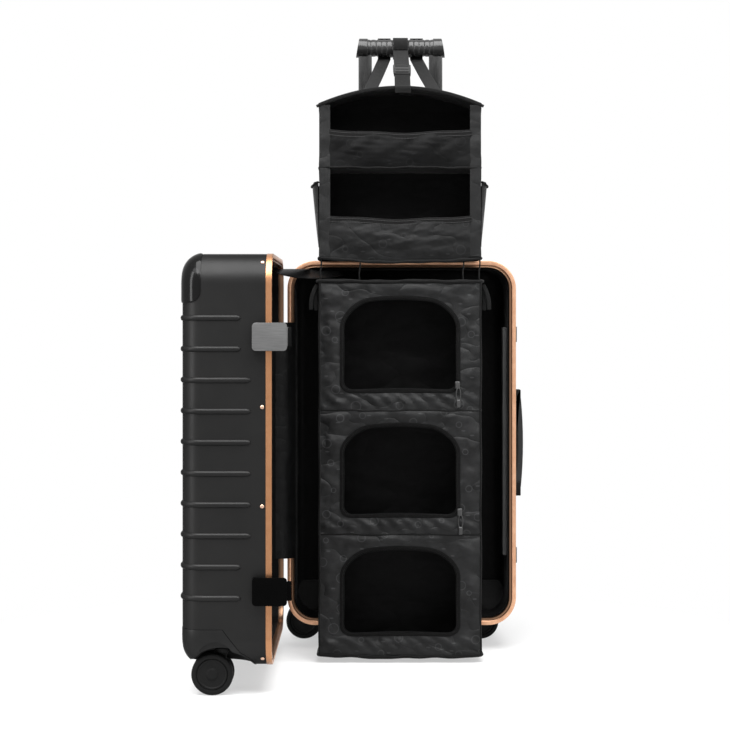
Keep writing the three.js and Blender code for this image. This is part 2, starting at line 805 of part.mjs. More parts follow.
function carryMount() {
  const ends = [-1, 1].map((sideZ) => {
    const outer = carry.z + sideZ * (carry.padLength / 2);
    return box([halfWidth + gap, halfWidth + gap + carry.endHeight],
      [carry.y - carry.padWidth / 2, carry.y + carry.padWidth / 2],
      [outer, outer - sideZ * carry.endLength].sort((a, b) => a - b));
  });
  const slots = [-1, 1].map((sideZ) => {
    const inner = carry.z + sideZ * (carry.padLength / 2 - carry.endLength);
    return box(
      [halfWidth + gap + carry.padThickness, halfWidth + carry.endHeight + overrun],
      [carry.y - carry.gripWidth / 2 - carry.fit, carry.y + carry.gripWidth / 2 + carry.fit],
      [inner - sideZ * overrun, inner + sideZ * (carry.legLength + carry.fit)].sort((a, b) => a - b),
    );
  });
  return without(joined([carryPad(0, carry.padThickness), ...ends]), slots);
}

// The grip bar: bowed outwards, with a leg at each end that runs down into its slot
function carryGrip() {
  const half = carry.padLength / 2 - carry.endLength + carry.legLength;
  const steps = 2 * edgeSteps;
  const top = [];
  for (let i = 0; i <= steps; i++) {
    const share = (2 * i) / steps - 1;
    top.push([halfWidth + carry.gripLift - carry.bow * share * share, carry.z + share * half]);
  }
  const innerHalf = half - carry.legLength;
  const foot = halfWidth + gap + carry.padThickness + gap;
  const inner = [];
  for (let i = steps; i >= 0; i--) {
    const share = (2 * i) / steps - 1;
    const x = halfWidth + carry.gripLift - carry.gripThickness - carry.bow * share * share;
    inner.push([x, carry.z + share * innerHalf]);
  }
  const outline = [...top, [foot, carry.z + half], [foot, carry.z + innerHalf], ...inner,
    [foot, carry.z - innerHalf], [foot, carry.z - half]];
  return prism('y', outline, [carry.y - carry.gripWidth / 2, carry.y + carry.gripWidth / 2]);
}

function backingStripPiece() {
  const face = halfWidth - lining.inset - lining.thickness - gap;
  return box([face - backingStrip.thickness, face], [backingStrip.y, backingStrip.y + backingStrip.width],
    [backingStrip.bottom, backingStrip.bottom + backingStrip.height]);
}

// Organizer
function board(z) {
  return box([-organizer.boardHalf, organizer.boardHalf], [organizer.boardFront, organizer.boardBack],
    [z - organizer.boardThickness / 2, z + organizer.boardThickness / 2]);
}

// The top panel: a board with an arched face above it, open to the front below the arch
function topPanel() {
  const half = organizer.sleeveHalf;
  const skin = organizer.fabric;
  const low = organizer.topZ - organizer.boardThickness / 2;
  const arch = (drop) => Array.from({ length: organizer.archSteps + 1 }, (_, i) => {
    const share = (2 * i) / organizer.archSteps - 1;
    return [share * (half - drop), organizer.topZ + organizer.apexRise * (1 - share * share) - drop + skin];
  });
  const roof = [...arch(0), [half, low], ...arch(skin).toReversed().map(([x, z]) => [x, Math.max(z, low)]), [-half, low]];
  const crown = prism('y', roof, [organizer.sleeveFront, organizer.sleeveBack]);
  const back = prism('y', [...arch(0), [half, low], [-half, low]], [organizer.sleeveBack - skin, organizer.sleeveBack]);
  return joined([crown, back]);
}

// The four cords that hang the lower unit from the front wall of the upper one
function cordRods() {
  const low = organizer.lowerTopZ - organizer.boardThickness / 2;
  const high = organizer.floorZ + organizer.boardThickness / 2 + organizer.cordLap;
  const y = organizer.sleeveFront + organizer.fabric / 2;
  return cordShares.map((share) => rod('z', organizer.cordRadius, [share * organizer.sleeveHalf, y],
    [low, high], organizer.cordSides));
}

// Four fabric walls between two boards
function sleeveWalls(low, high) {
  const skin = organizer.fabric;
  const [half, back, front] = [organizer.sleeveHalf, organizer.sleeveBack, organizer.sleeveFront];
  const z = [low + organizer.boardThickness / 2 + gap, high - organizer.boardThickness / 2 - gap];
  const outer = box([-half, half], [front, back], z);
  return outer.subtract(box([skin - half, half - skin], [front + skin, back - skin], [z[0] - overrun, z[1] + overrun]));
}

function frontCut(outline) {
  return prism('y', outline, [organizer.sleeveFront - overrun, organizer.sleeveFront + organizer.fabric + gap]);
}

// An upper tier: open above a front pocket, between two edge strips
function shelfSleeve(low, high, hem) {
  const half = organizer.sleeveHalf - organizer.edgeStrip;
  return sleeveWalls(low, high).subtract(frontCut([[-half, hem], [half, hem], [half, high], [-half, high]]));
}

// A lower tier: closed in front but for a rounded zip opening
function zipSleeve(low, high, tier) {
  const top = high - zipOpening.topMargins[tier];
  const bottom = low + zipOpening.bottomMargins[tier];
  const corners = [
    { x: 1, z: top, r: zipOpening.topRadius, down: -1 },
    { x: -1, z: top, r: zipOpening.topRadius, down: -1 },
    { x: -1, z: bottom, r: zipOpening.bottomRadius, down: 1 },
    { x: 1, z: bottom, r: zipOpening.bottomRadius, down: 1 },
  ];
  const outline = corners.flatMap(({ x, z, r, down }, quarter) => Array.from({ length: zipOpening.steps + 1 }, (_, i) => {
    const angle = (quarter + i / zipOpening.steps) * (Math.PI / 2);
    return [x * (zipOpening.half - r) + r * Math.cos(angle), z + down * r + r * Math.sin(angle)];
  }));
  return sleeveWalls(low, high).subtract(frontCut(outline));
}

// A pocket on the side wall that flares open at its top
function sidePocketWalls(sideX) {
  const inner = organizer.sleeveHalf - organizer.fabric / 2;
  const wall = (grow) => [
    [sideX * inner, sidePocket.bottom],
    [sideX * (organizer.sleeveHalf + grow), sidePocket.bottom],
    [sideX * (organizer.sleeveHalf + sidePocket.flare + grow), sidePocket.top],
    [sideX * inner, sidePocket.top],
  ];
  const outer = prism('y', wall(sidePocket.thickness), [sidePocket.front, sidePocket.back]);
  const hollow = prism('y', [
    [sideX * organizer.sleeveHalf, sidePocket.bottom + sidePocket.thickness],
    [sideX * (organizer.sleeveHalf + sidePocket.flare), sidePocket.top + overrun],
    [sideX * organizer.sleeveHalf, sidePocket.top + overrun],
  ], [sidePocket.front + sidePocket.thickness, sidePocket.back - sidePocket.thickness]);
  return outer.subtract(hollow);
}

// Straps, from a loop round the grip down to the top panel
const acrossStraps = new THREE.Vector3(1, 0, 0);
const loopRadius = trolley.gripRadius + webbing.loopLift;

function loopPath(x, startShare, endShare) {
  return Array.from({ length: webbing.loopSteps + 1 }, (_, i) => {
    const share = i / webbing.loopSteps;
    const angle = Math.PI * (startShare + (endShare - startShare) * share);
    const radius = loopRadius + 2 * webbing.thickness * share * share;
    return new THREE.Vector3(x, trolley.y + radius * Math.cos(angle), trolley.gripZ + radius * Math.sin(angle));
  });
}

const buckleAlong = new THREE.Vector3(0, -Math.cos(buckle.slope), -Math.sin(buckle.slope));
const buckleCentre = new THREE.Vector3(0, buckle.y, buckle.z);

function buckleEnd(share) {
  return buckleCentre.clone().addScaledVector(buckleAlong, share * (buckle.length / 2 + strapEndGap));
}

function archZ(x) {
  const share = (x - organizer.offset) / organizer.sleeveHalf;
  return organizer.topZ + organizer.apexRise * (1 - share * share) + organizer.fabric;
}

function centreStrap() {
  return ribbon([...loopPath(0, loopStartShare, loopEndShare), buckleEnd(-1)], acrossStraps, webbing.width, webbing.thickness);
}

function frontStrap() {
  const lift = webbing.thickness / 2 + strapEndGap;
  const top = archZ(0) + lift;
  const front = organizer.sleeveFront - lift;
  const bend = new THREE.Vector3(0, front + webbing.width, top + webbing.thickness);
  const edge = new THREE.Vector3(0, front, top);
  const end = new THREE.Vector3(0, front, top - webbing.tail);
  return ribbon([buckleEnd(1), bend, edge, end], acrossStraps, webbing.width, webbing.thickness);
}

const sideStrap = { gripX: 24, panelX: 47, panelY: -52, startShare: 0.45, endShare: -0.36 };

function sideStrapPiece(sideX) {
  const x = sideX * sideStrap.gripX;
  const endX = sideX * sideStrap.panelX;
  const end = new THREE.Vector3(endX, sideStrap.panelY, archZ(endX) + 2 * webbing.thickness);
  return ribbon([...loopPath(x, sideStrap.startShare, sideStrap.endShare), end], acrossStraps, webbing.sideWidth, webbing.thickness);
}

function bucklePiece() {
  const geometry = new THREE.BoxGeometry(buckle.width, buckle.length, buckle.thickness);
  geometry.rotateX(buckle.slope).translate(0, buckle.y, buckle.z);
  return solid(geometry);
}

// Fabric between the halves, drawn with the lid open
function flapPiece() {
  const inside = lining.inset + lining.thickness + 2 * gap;
  const lidSide = -hinge.offset - inside;
  const mouth = hingeX - shell.matingGap;
  const wall = -halfWidth + inside + gap;
  const points = [
    [mouth - inside, lidSide - gap],
    [mouth, lidSide - gap],
    [(mouth + wall) / 2, lidSide * flapShares[0]],
    [wall - gap, lidSide * flapShares[1]],
    [wall, 0],
    [wall, inside],
  ].map(([x, y]) => new THREE.Vector3(x, y, (flap.bottom + flap.top) / 2));
  return ribbon(points, new THREE.Vector3(0, 0, 1), flap.top - flap.bottom, flap.thickness);
}

function stayPiece() {
  const lidX = hingeX - shell.matingGap;
  const innerRadius = shell.cornerRadius - lining.inset - lining.thickness - gap;
  const level = caseTop - stay.drop;
  const rise = shell.cornerRadius - stay.drop + stay.thickness / 2;
  const clear = shell.cornerRadius - Math.sqrt(innerRadius * innerRadius - rise * rise);
  const wall = -halfWidth + clear;
  const near = -hinge.offset - clear;
  const outline = [
    [lidX - stay.inset, near],
    [wall, near],
    [wall, stay.inset],
    [wall + stay.baseReach, stay.inset],
    [wall + stay.baseReach, 0],
    [lidX, -stay.lidReach],
    [lidX - stay.inset, -stay.lidReach],
  ];
  return prism('z', outline, [level - stay.thickness / 2, level + stay.thickness / 2]);
}

// Assembly
const materials = Object.fromEntries(Object.entries(palette).map(([name, look]) => [
  name, new THREE.MeshStandardMaterial(look),
]));

function piece(parent, name, form, material) {
  const { vertProperties, triVerts } = form.simplify(smallestEdge).getMesh();
  const geometry = new THREE.BufferGeometry();
  geometry.setAttribute('position', new THREE.BufferAttribute(vertProperties, 3));
  geometry.setIndex(new THREE.BufferAttribute(triVerts, 1));
  const mesh = new THREE.Mesh(geometry, materials[material].clone());
  mesh.name = name;
  parent.add(mesh);
}

const model = new THREE.Group();
const lidGroup = new THREE.Group();
const lidPivot = new THREE.Group();
lidPivot.position.x = hingeX;
lidPivot.rotation.z = openAngle;
lidGroup.position.x = -hingeX;
lidPivot.add(lidGroup);
model.add(lidPivot);

function addCaster(parent, half, sideX) {
  const swivel = swivelPlace(half, sideX);
  const name = `${half.name}_${sideX < 0 ? 'left' : 'right'}`;
  piece(parent, `${name}_wheel_housing`, housingPiece(half, sideX), 'plastic');
  const turned = new THREE.Group();
  turned.position.set(swivel.x, swivel.y, 0);
  if (half === lid) turned.rotation.z = -openAngle;
  parent.add(turned);
  piece(turned, `${name}_caster_fork`, forkPiece(), 'plastic');
  piece(turned, `${name}_twin_wheel`, wheelPiece(), 'tyre');
}

function addHalf(parent, half, shellForm, liningBack) {
  piece(parent, `${half.name}_shell`, shellForm, 'shellPaint');
  piece(parent, `${half.name}_frame`, railPiece(half), 'frameMetal');
  piece(parent, `${half.name}_lining`, liningPiece(half, liningBack), 'lining');
  for (const sideX of [-1, 1]) {
    piece(parent, `${half.name}_corner_cap_${sideX < 0 ? 'left' : 'right'}`, capPiece(half, sideX), 'glossCap');
    addCaster(parent, half, sideX);
  }
  piece(parent, `hinge_${half.name}_leaf`, hingeLeaf(half), 'blackMetal');
}

const baseCuts = [
  ...stageHoles(0, gap, [caseTop - shell.wall - overrun, caseTop + overrun]),
  carryPad(carry.padClear, carry.endHeight + overrun).subtract(box([-halfWidth, halfWidth + gap / 2],
    [0, shell.baseDepth], [caseBottom, caseTop])),
];
addHalf(model, base, without(shellPiece(base), baseCuts), lining.baseBack);
addHalf(lidGroup, lid, shellPiece(lid), lining.lidBack);

const latchNames = ['upper', 'lower'];
latch.heights.forEach((z, i) => {
  const finish = i === 0 ? 'satinMetal' : 'blackMetal';
  piece(lidGroup, `${latchNames[i]}_latch_body`, latchBody(z), 'blackMetal');
  piece(lidGroup, `${latchNames[i]}_latch_lever`, latchLever(z), finish);
  piece(model, `${latchNames[i]}_latch_keeper`, keeperPiece(z), 'blackMetal');
});

piece(model, 'trolley_outer_tubes', outerTubes(), 'tube');
piece(model, 'trolley_bezel', bezelPiece(), 'plastic');
for (const sideX of [-1, 1]) {
  const name = sideX < 0 ? 'left' : 'right';
  piece(model, `trolley_middle_tube_${name}`, tube(sideX, 1, [middleRestBottom, middleRestTop]), 'tube');
  piece(model, `trolley_inner_tube_${name}`, tube(sideX, 2, [innerRestBottom, innerTop]), 'tube');
}
piece(model, 'trolley_grip', gripPiece(), 'plastic');
piece(model, 'trolley_button', buttonPiece(), 'plastic');

piece(model, 'carry_handle_mount', carryMount(), 'plastic');
piece(model, 'carry_handle_grip', carryGrip(), 'plastic');
piece(model, 'carry_handle_backing', backingStripPiece(), 'plastic');

function hung(name, form) {
  piece(model, `organizer_${name}`, form.translate([organizer.offset, 0, 0]), 'fabric');
}

const [upperHem, lowerHem] = pocketHemHeights;
hung('top_panel', topPanel());
hung('upper_shelf', board(organizer.shelfZ));
hung('upper_floor', board(organizer.floorZ));
hung('lower_top', board(organizer.lowerTopZ));
hung('middle_shelf', board(organizer.middleZ));
hung('lower_shelf', board(organizer.lowerZ));
hung('bottom', board(organizer.bottomZ));
hung('sleeve_1', shelfSleeve(organizer.shelfZ, organizer.topZ, upperHem));
hung('sleeve_2', joined([
  shelfSleeve(organizer.floorZ, organizer.shelfZ, lowerHem),
  sidePocketWalls(-1),
  sidePocketWalls(1),
  ...cordRods(),
]));
const zipLevels = [organizer.lowerTopZ, organizer.middleZ, organizer.lowerZ, organizer.bottomZ];
for (let tier = 0; tier + 1 < zipLevels.length; tier++) {
  hung(`sleeve_${tier + 3}`, zipSleeve(zipLevels[tier + 1], zipLevels[tier], tier));
}

piece(model, 'strap_centre', centreStrap(), 'webbing');
piece(model, 'strap_buckle', bucklePiece(), 'plastic');
piece(model, 'strap_front', frontStrap(), 'webbing');
piece(model, 'strap_left', sideStrapPiece(-1), 'webbing');
piece(model, 'strap_right', sideStrapPiece(1), 'webbing');
piece(model, 'hinge_flap', flapPiece(), 'fabric');
piece(model, 'lid_stay', stayPiece(), 'fabric');

// The part's own origin: under the middle of its box, on the floor
const group = new THREE.Group();
group.add(model);
const bounds = new THREE.Box3().setFromObject(group, true);
const middle = bounds.getCenter(new THREE.Vector3());
model.position.set(-middle.x, -middle.y, -bounds.min.z);

export default group;
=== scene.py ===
"""Looks of a carry-on suitcase, open on its casters, with a shelf organizer hung in front.

Points are worked out in millimetres in the case frame: X = 0 on the middle of the base half, Y = 0
on its mating plane, Z = 0 on the floor. The lid is worked out closed and then swung open.
"""

import math
from typing import NamedTuple

import bmesh
import bpy
import numpy as np
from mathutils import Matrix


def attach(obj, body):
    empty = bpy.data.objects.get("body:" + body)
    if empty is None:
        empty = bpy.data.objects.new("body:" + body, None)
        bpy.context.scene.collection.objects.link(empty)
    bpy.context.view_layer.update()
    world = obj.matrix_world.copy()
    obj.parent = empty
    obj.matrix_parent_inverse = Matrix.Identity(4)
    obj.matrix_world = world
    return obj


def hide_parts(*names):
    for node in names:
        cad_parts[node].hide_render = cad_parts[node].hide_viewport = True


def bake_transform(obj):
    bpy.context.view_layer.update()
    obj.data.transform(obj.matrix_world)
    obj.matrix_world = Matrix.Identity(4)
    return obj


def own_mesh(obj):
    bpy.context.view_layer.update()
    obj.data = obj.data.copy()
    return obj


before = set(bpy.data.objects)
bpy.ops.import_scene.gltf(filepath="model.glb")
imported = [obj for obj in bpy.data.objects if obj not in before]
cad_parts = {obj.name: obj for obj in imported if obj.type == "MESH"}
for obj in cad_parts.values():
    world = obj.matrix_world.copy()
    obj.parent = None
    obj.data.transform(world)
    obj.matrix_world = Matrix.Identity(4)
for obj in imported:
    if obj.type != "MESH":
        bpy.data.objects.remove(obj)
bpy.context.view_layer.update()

MM = 1000
TURN, QUARTER = 2 * math.pi, math.pi / 2
SIDES = (("left", -1), ("right", 1))

# The case frame's place in the part's frame, and the lid's quarter turn about the hinge
SHIFT = np.array([52.927, 98.473, 0.0])
HINGE = np.array([-168.0, 0, 0])
SWING = np.array([[0.0, -1.0, 0.0], [1.0, 0.0, 0.0], [0.0, 0.0, 1.0]])

# The case's half sizes and heights, and the radii of its corners and of its outer edge
HALF_WIDTH, HALF_HEIGHT = 163.0, 260.0
CASE_BOTTOM, CASE_TOP = 36.6, 556.6
CASE_MIDDLE = (CASE_BOTTOM + CASE_TOP) / 2
CORNER, EDGE = 39.0, 27.0
MATE_GAP = 0.5
SKIN = 1.2
MOUTH = 7.9
LINING_INSET = 9.4


class Half(NamedTuple):
    """One half of the case: its sense along Y, depth, body, and what sits how far in."""

    name: str
    side: int
    depth: float
    body: str
    swivel_back: float
    lining_back: float
    crease_seed: int

    def y(self, depth):
        """Y of a depth behind the mating plane, from which the closed lid stands off by a gap."""
        return self.side * (depth + (0 if self.side > 0 else MATE_GAP))


BASE = Half("base", 1, 145.0, "root", 38.0, 96.0, 3)
LID = Half("lid", -1, 114.0, "lid", 50.0, 110.0, 4)


def put(name, data):
    """A new object in the scene around a mesh, a lamp or a camera."""
    obj = bpy.data.objects.new(name, data)
    bpy.context.collection.objects.link(obj)
    return obj


def make_camera():
    """The photograph's view: level and along Y, its frame shifted to hold the suitcase."""
    data = bpy.data.cameras.new("camera")
    data.lens, data.sensor_width, data.clip_end = 89.6, 36, 30
    data.shift_x, data.shift_y = -0.004, -0.064
    camera = put("camera", data)
    camera.location = (0.0046, -2.5015, 0.475)
    camera.rotation_euler = (QUARTER, 0, 0)
    bpy.context.scene.camera = camera


make_camera()


# Forms are (points, faces, cloth), where cloth is each point's place across and along a weave

def grid_faces(rows, columns, wrap_rows=False, wrap_columns=False):
    """Four-sided faces between neighbouring points of a grid, closed round either way if asked."""
    r = np.arange(rows if wrap_rows else rows - 1)
    c = np.arange(columns if wrap_columns else columns - 1)
    i, j = np.meshgrid(r, c, indexing="ij")
    i2, j2 = (i + 1) % rows, (j + 1) % columns
    corners = [i * columns + j, i * columns + j2, i2 * columns + j2, i2 * columns + j]
    return np.stack(corners, -1).reshape(-1, 4)


def grid_form(points, wrap_rows=False, wrap_columns=False, cloth=None):
    rows, columns = points.shape[:2]
    faces = grid_faces(rows, columns, wrap_rows, wrap_columns)
    return points.reshape(-1, 3), faces, None if cloth is None else cloth.reshape(-1, 3)


def joined(forms):
    """Several forms in one: their points in a row, with each one's faces counted on."""
    points, faces, cloths = zip(*forms)
    starts = np.cumsum([0] + [len(some) for some in points[:-1]])
    faces = np.concatenate([some + start for some, start in zip(faces, starts)])
    if all(cloth is None for cloth in cloths):
        return np.concatenate(points), faces, None
    cloths = [np.zeros_like(p) if cloth is None else cloth for p, cloth in zip(points, cloths)]
    return np.concatenate(points), faces, np.concatenate(cloths)


def capped(rings):
    """Rings with one more at each end, drawn together to its middle, so that the skin closes."""
    first = np.broadcast_to(rings[0].mean(0), rings[0].shape)
    last = np.broadcast_to(rings[-1].mean(0), rings[-1].shape)
    return np.concatenate([first[None], rings, last[None]])


def closed_form(rings):
    """A solid skin over a row of closed rings."""
    return grid_form(capped(np.asarray(rings)), wrap_columns=True)


def unit(vectors):
    return vectors / np.maximum(np.linalg.norm(vectors, axis=-1, keepdims=True), 1e-9)


def xyz(x, y, z):
    """Points from their three coordinates, each a number or an array."""
    return np.stack(np.broadcast_arrays(x, y, z), -1)


def ripple(points, seed, lengths, amount):
    """Creases: eight sine waves in seeded directions, summed; the shorter ones are lower."""
    rng = np.random.default_rng(seed)
    total = np.zeros(points.shape[:-1])
    for k in range(8):
        direction = unit(rng.normal(size=3)) / np.asarray(lengths) * (1 + 0.35 * k)
        total += np.sin(TURN * (points @ direction) + rng.uniform(0, 6.28)) / (1 + 0.5 * k)
    return amount * total / 3


def rounded_rect(half_u, half_v, radius, steps=6, splits=0):
    """A rectangle's outline with an arc at each corner and evenly split straight sides.

    A radius is one number or four, for upper right, upper left, lower left and lower right.
    """
    radius = np.broadcast_to(radius, (4,))[:, None]
    quarter, i = np.meshgrid(np.arange(4), np.arange(steps + 1), indexing="ij")
    angle = (quarter + i / steps) * QUARTER
    side_u = np.where((quarter == 0) | (quarter == 3), 1, -1)
    side_v = np.where(quarter < 2, 1, -1)
    arcs = np.stack([side_u * (half_u - radius) + radius * np.cos(angle),
                     side_v * (half_v - radius) + radius * np.sin(angle)], -1)
    share = (np.arange(1, splits + 1) / (splits + 1))[None, :, None]
    runs = arcs[:, -1:] * (1 - share) + np.roll(arcs, -1, 0)[:, :1] * share
    return np.concatenate([arcs, runs], 1).reshape(-1, 2)


def rings_of(half, profile, steps=14, splits=0):
    """Case rings of one half, one for each (inset, depth) of a profile."""
    rows = []
    for inset, depth in profile:
        radius = max(CORNER - inset, 0.01)
        flat = rounded_rect(HALF_WIDTH - inset, HALF_HEIGHT - inset, radius, steps, splits)
        rows.append(xyz(flat[:, 0], half.y(depth), CASE_MIDDLE + flat[:, 1]))
    return np.array(rows)


def edge_profile(inset, mouth, back, steps=14, across=(60, 105, 162.99)):
    """A half's side from the mouth, round the outer edge and over the face to its middle."""
    radius = max(EDGE - inset, 2)
    arc = [(inset + radius * (1 - math.cos(a)), back - radius + radius * math.sin(a))
           for a in np.linspace(0, QUARTER, steps + 1)]
    return [(inset, mouth)] + arc + [(reach, back) for reach in across]


def bevelled(section, size):
    """A polygon with each corner turned into three points on a short arc."""
    section = np.asarray(section, float)
    before, after = np.roll(section, 1, 0) - section, np.roll(section, -1, 0) - section
    shorter = np.minimum(np.linalg.norm(before, axis=1), np.linalg.norm(after, axis=1))
    cut = np.minimum(size, 0.45 * shorter)[:, None]
    a, b = section + unit(before) * cut, section + unit(after) * cut
    return np.stack([a, (a + b) / 4 + section / 2, b], 1).reshape(-1, 2)


def sweep(path, section, up, closed=False):
    """A closed section of (side, up) points carried along a path, its ends closed to a point."""
    path, section = np.asarray(path, float), np.asarray(section, float)
    tangent = np.roll(path, -1, 0) - np.roll(path, 1, 0) if closed else np.gradient(path, axis=0)
    tangent = unit(tangent)
    side = unit(np.cross(tangent, np.broadcast_to(np.asarray(up, float), path.shape)))
    lift = np.cross(side, tangent)
    if section.ndim == 2:
        section = np.broadcast_to(section, (len(path), *section.shape))
    rings = path[:, None] + section[..., :1] * side[:, None] + section[..., 1:] * lift[:, None]
    run = np.concatenate([[0], np.cumsum(np.linalg.norm(np.diff(path, axis=0), axis=1))])
    along = np.broadcast_to(run[:, None], rings.shape[:2])
    cloth = np.stack([section[..., 0], along, section[..., 1]], -1) / MM
    if not closed:
        rings = capped(rings)
        cloth = np.concatenate([cloth[:1], cloth, cloth[-1:]])
    return grid_form(rings, wrap_rows=closed, wrap_columns=True, cloth=cloth)


def curve(points, count):
    """A smooth line through points: cubics that leave each along its neighbours' chord."""
    p = np.asarray(points, float)
    t = np.linspace(0, len(p) - 1, count)
    i = np.clip(t.astype(int), 0, len(p) - 2)
    f = (t - i)[:, None]
    a, b, c, d = p[np.maximum(i - 1, 0)], p[i], p[i + 1], p[np.minimum(i + 2, len(p) - 1)]
    rise, bend, twist = c - a, 2 * a - 5 * b + 4 * c - d, 3 * b - a - 3 * c + d
    return (2 * b + rise * f + bend * f**2 + twist * f**3) / 2


def disc(radius, count=10):
    angle = np.linspace(0, TURN, count, endpoint=False)
    return np.column_stack([radius * np.cos(angle), radius * np.sin(angle)])


def flat_band(width, thickness, softness=0.35):
    """The section of a webbing or tape, its long edges rounded."""
    return rounded_rect(width / 2, thickness / 2, min(softness, thickness * 0.49), 2, 3)


def turned(profile, centre, axis, count=64):
    """A profile of (radius, along) points turned about an axis through a centre."""
    profile = np.asarray(profile, float)
    angle = np.linspace(0, TURN, count, endpoint=False)
    radius, along = profile[:, :1], np.broadcast_to(profile[:, 1:], (len(profile), count))
    a, b = radius * np.cos(angle), radius * np.sin(angle)
    order = {"x": (along, a, b), "y": (b, along, a), "z": (a, b, along)}[axis]
    return grid_form(np.stack(order, -1) + np.asarray(centre), wrap_columns=True)


def block(x, y, z, radius=1.0, steps=3):
    """A box with rounded edges: rounded outlines at rising heights, drawn in near both ends."""
    half_x, half_y = (x[1] - x[0]) / 2, (y[1] - y[0]) / 2
    middle = [(x[0] + x[1]) / 2, (y[0] + y[1]) / 2]
    radius = min(radius, half_x * 0.98, half_y * 0.98, (z[1] - z[0]) * 0.49)
    angles = np.linspace(QUARTER, 0, steps + 1)
    inset, rise = radius * (1 - np.cos(angles)), radius * (1 - np.sin(angles))
    heights = np.concatenate([z[0] + rise, z[1] - rise[::-1]])
    rings = []
    for inward, height in zip(np.concatenate([inset, inset[::-1]]), heights):
        flat = rounded_rect(half_x - inward, half_y - inward, max(radius - inward, 0.02), steps)
        rings.append(xyz(*(flat + middle).T, height))
    return closed_form(rings)


def slab(points, thickness, wrap=False, flat=False):
    """Cloth with a thickness: a grid set off to both sides along its normals, its edges closed.

    The weave runs along the grid, or straight across and down a flat piece.
    """
    over = np.roll(points, -1, 1) - np.roll(points, 1, 1) if wrap else np.gradient(points, axis=1)
    normal = unit(np.cross(over, np.gradient(points, axis=0))) * thickness / 2
    rows, columns = points.shape[:2]
    count = rows * columns
    sheet = grid_faces(rows, columns, wrap_columns=wrap)
    rims = [np.arange(columns), (rows - 1) * columns + np.arange(columns)]
    if not wrap:
        rims += [np.arange(rows) * columns, np.arange(rows) * columns + columns - 1]
    faces = [sheet, sheet[:, ::-1] + count]
    for rim in rims:
        ahead = np.roll(rim, -1)
        keep = slice(None) if wrap else slice(0, -1)
        faces.append(np.stack([rim, ahead, ahead + count, rim + count], -1)[keep])
    if flat:
        across, down = points[..., 0], points[..., 2]
    else:
        steps_over = np.diff(points, axis=1, prepend=points[:, :1])
        steps_down = np.diff(points, axis=0, prepend=points[:1])
        across = np.cumsum(np.linalg.norm(steps_over, axis=-1), 1)
        down = np.cumsum(np.linalg.norm(steps_down, axis=-1), 0)
    cloth = np.stack([across, down, 0 * down], -1).reshape(-1, 3) / MM
    both = np.concatenate([(points + normal).reshape(-1, 3), (points - normal).reshape(-1, 3)])
    return both, np.concatenate(faces), np.concatenate([cloth, cloth])


# Materials: small node trees on object coordinates, or on a piece's own weave where it is cloth

def node(tree, kind, inputs=None, **settings):
    made = tree.nodes.new("ShaderNode" + kind)
    for key, value in settings.items():
        setattr(made, key, value)
    for key, value in (inputs or {}).items():
        if isinstance(value, bpy.types.NodeSocket):
            tree.links.new(value, made.inputs[key])
        else:
            made.inputs[key].default_value = value
    return made


def grey(value, warmth=0.0):
    return (value * (1 + warmth), value, value * (1 - warmth), 1)


class Finish:
    """A material under construction: its node tree, its shader and its place coordinates."""

    def __init__(self, name, slot, cloth=False, **sockets):
        self.material = bpy.data.materials.new(name)
        self.material.use_nodes = True
        self.material["slot"] = slot
        self.tree = self.material.node_tree
        self.shader = self.tree.nodes["Principled BSDF"]
        self.place = self.weave() if cloth else node(self.tree, "TexCoord").outputs["Object"]
        for key, value in sockets.items():
            self.shader.inputs[key.replace("_", " ")].default_value = value

    def weave(self):
        return node(self.tree, "Attribute", attribute_name="cloth").outputs["Vector"]

    def mapped(self, **inputs):
        """The place coordinates, moved, turned or stretched."""
        return node(self.tree, "Mapping", {"Vector": self.place, **inputs}).outputs[0]

    def axes(self, vector):
        return node(self.tree, "SeparateXYZ", {0: vector}).outputs

    def cells(self, vector, scale, randomness):
        """A flat cell pattern: the distance to a cell's middle, and three random shares of it."""
        inputs = {"Vector": vector, "Scale": scale, "Randomness": randomness}
        made = node(self.tree, "TexVoronoi", inputs, voronoi_dimensions="2D")
        shares = node(self.tree, "SeparateColor", {0: made.outputs["Color"]}).outputs
        return made.outputs["Distance"], shares

    def noise(self, scale, detail=3.0, roughness=0.55, vector=None):
        inputs = {"Vector": vector or self.place, "Scale": scale, "Detail": detail,
                  "Roughness": roughness}
        return node(self.tree, "TexNoise", inputs).outputs[0]

    def spread(self, value, low=0.3, high=0.7, to_low=0.0, to_high=1.0):
        """A value's stretch from low to high, mapped onto another stretch."""
        inputs = {0: value, 1: low, 2: high, 3: to_low, 4: to_high}
        return node(self.tree, "MapRange", inputs).outputs[0]

    def math(self, operation, a, b=0.0):
        return node(self.tree, "Math", {0: a, 1: b}, operation=operation).outputs[0]

    def mix(self, factor, a, b):
        return node(self.tree, "Mix", {0: factor, 6: a, 7: b}, data_type="RGBA").outputs[2]

    def bump(self, height, strength, distance=0.0003, normal=None):
        inputs = {"Height": height, "Strength": strength, "Distance": distance}
        if normal is not None:
            inputs["Normal"] = normal
        return node(self.tree, "Bump", inputs).outputs[0]

    def done(self, colour, rough, normal):
        for key, value in (("Base Color", colour), ("Roughness", rough), ("Normal", normal)):
            self.tree.links.new(value, self.shader.inputs[key])
        return self.material


# A coat that stays dark where it is seen at a low angle
DARK_COAT = {"Specular_IOR_Level": 0.12, "Specular_Tint": (0.3, 0.3, 0.3, 1)}


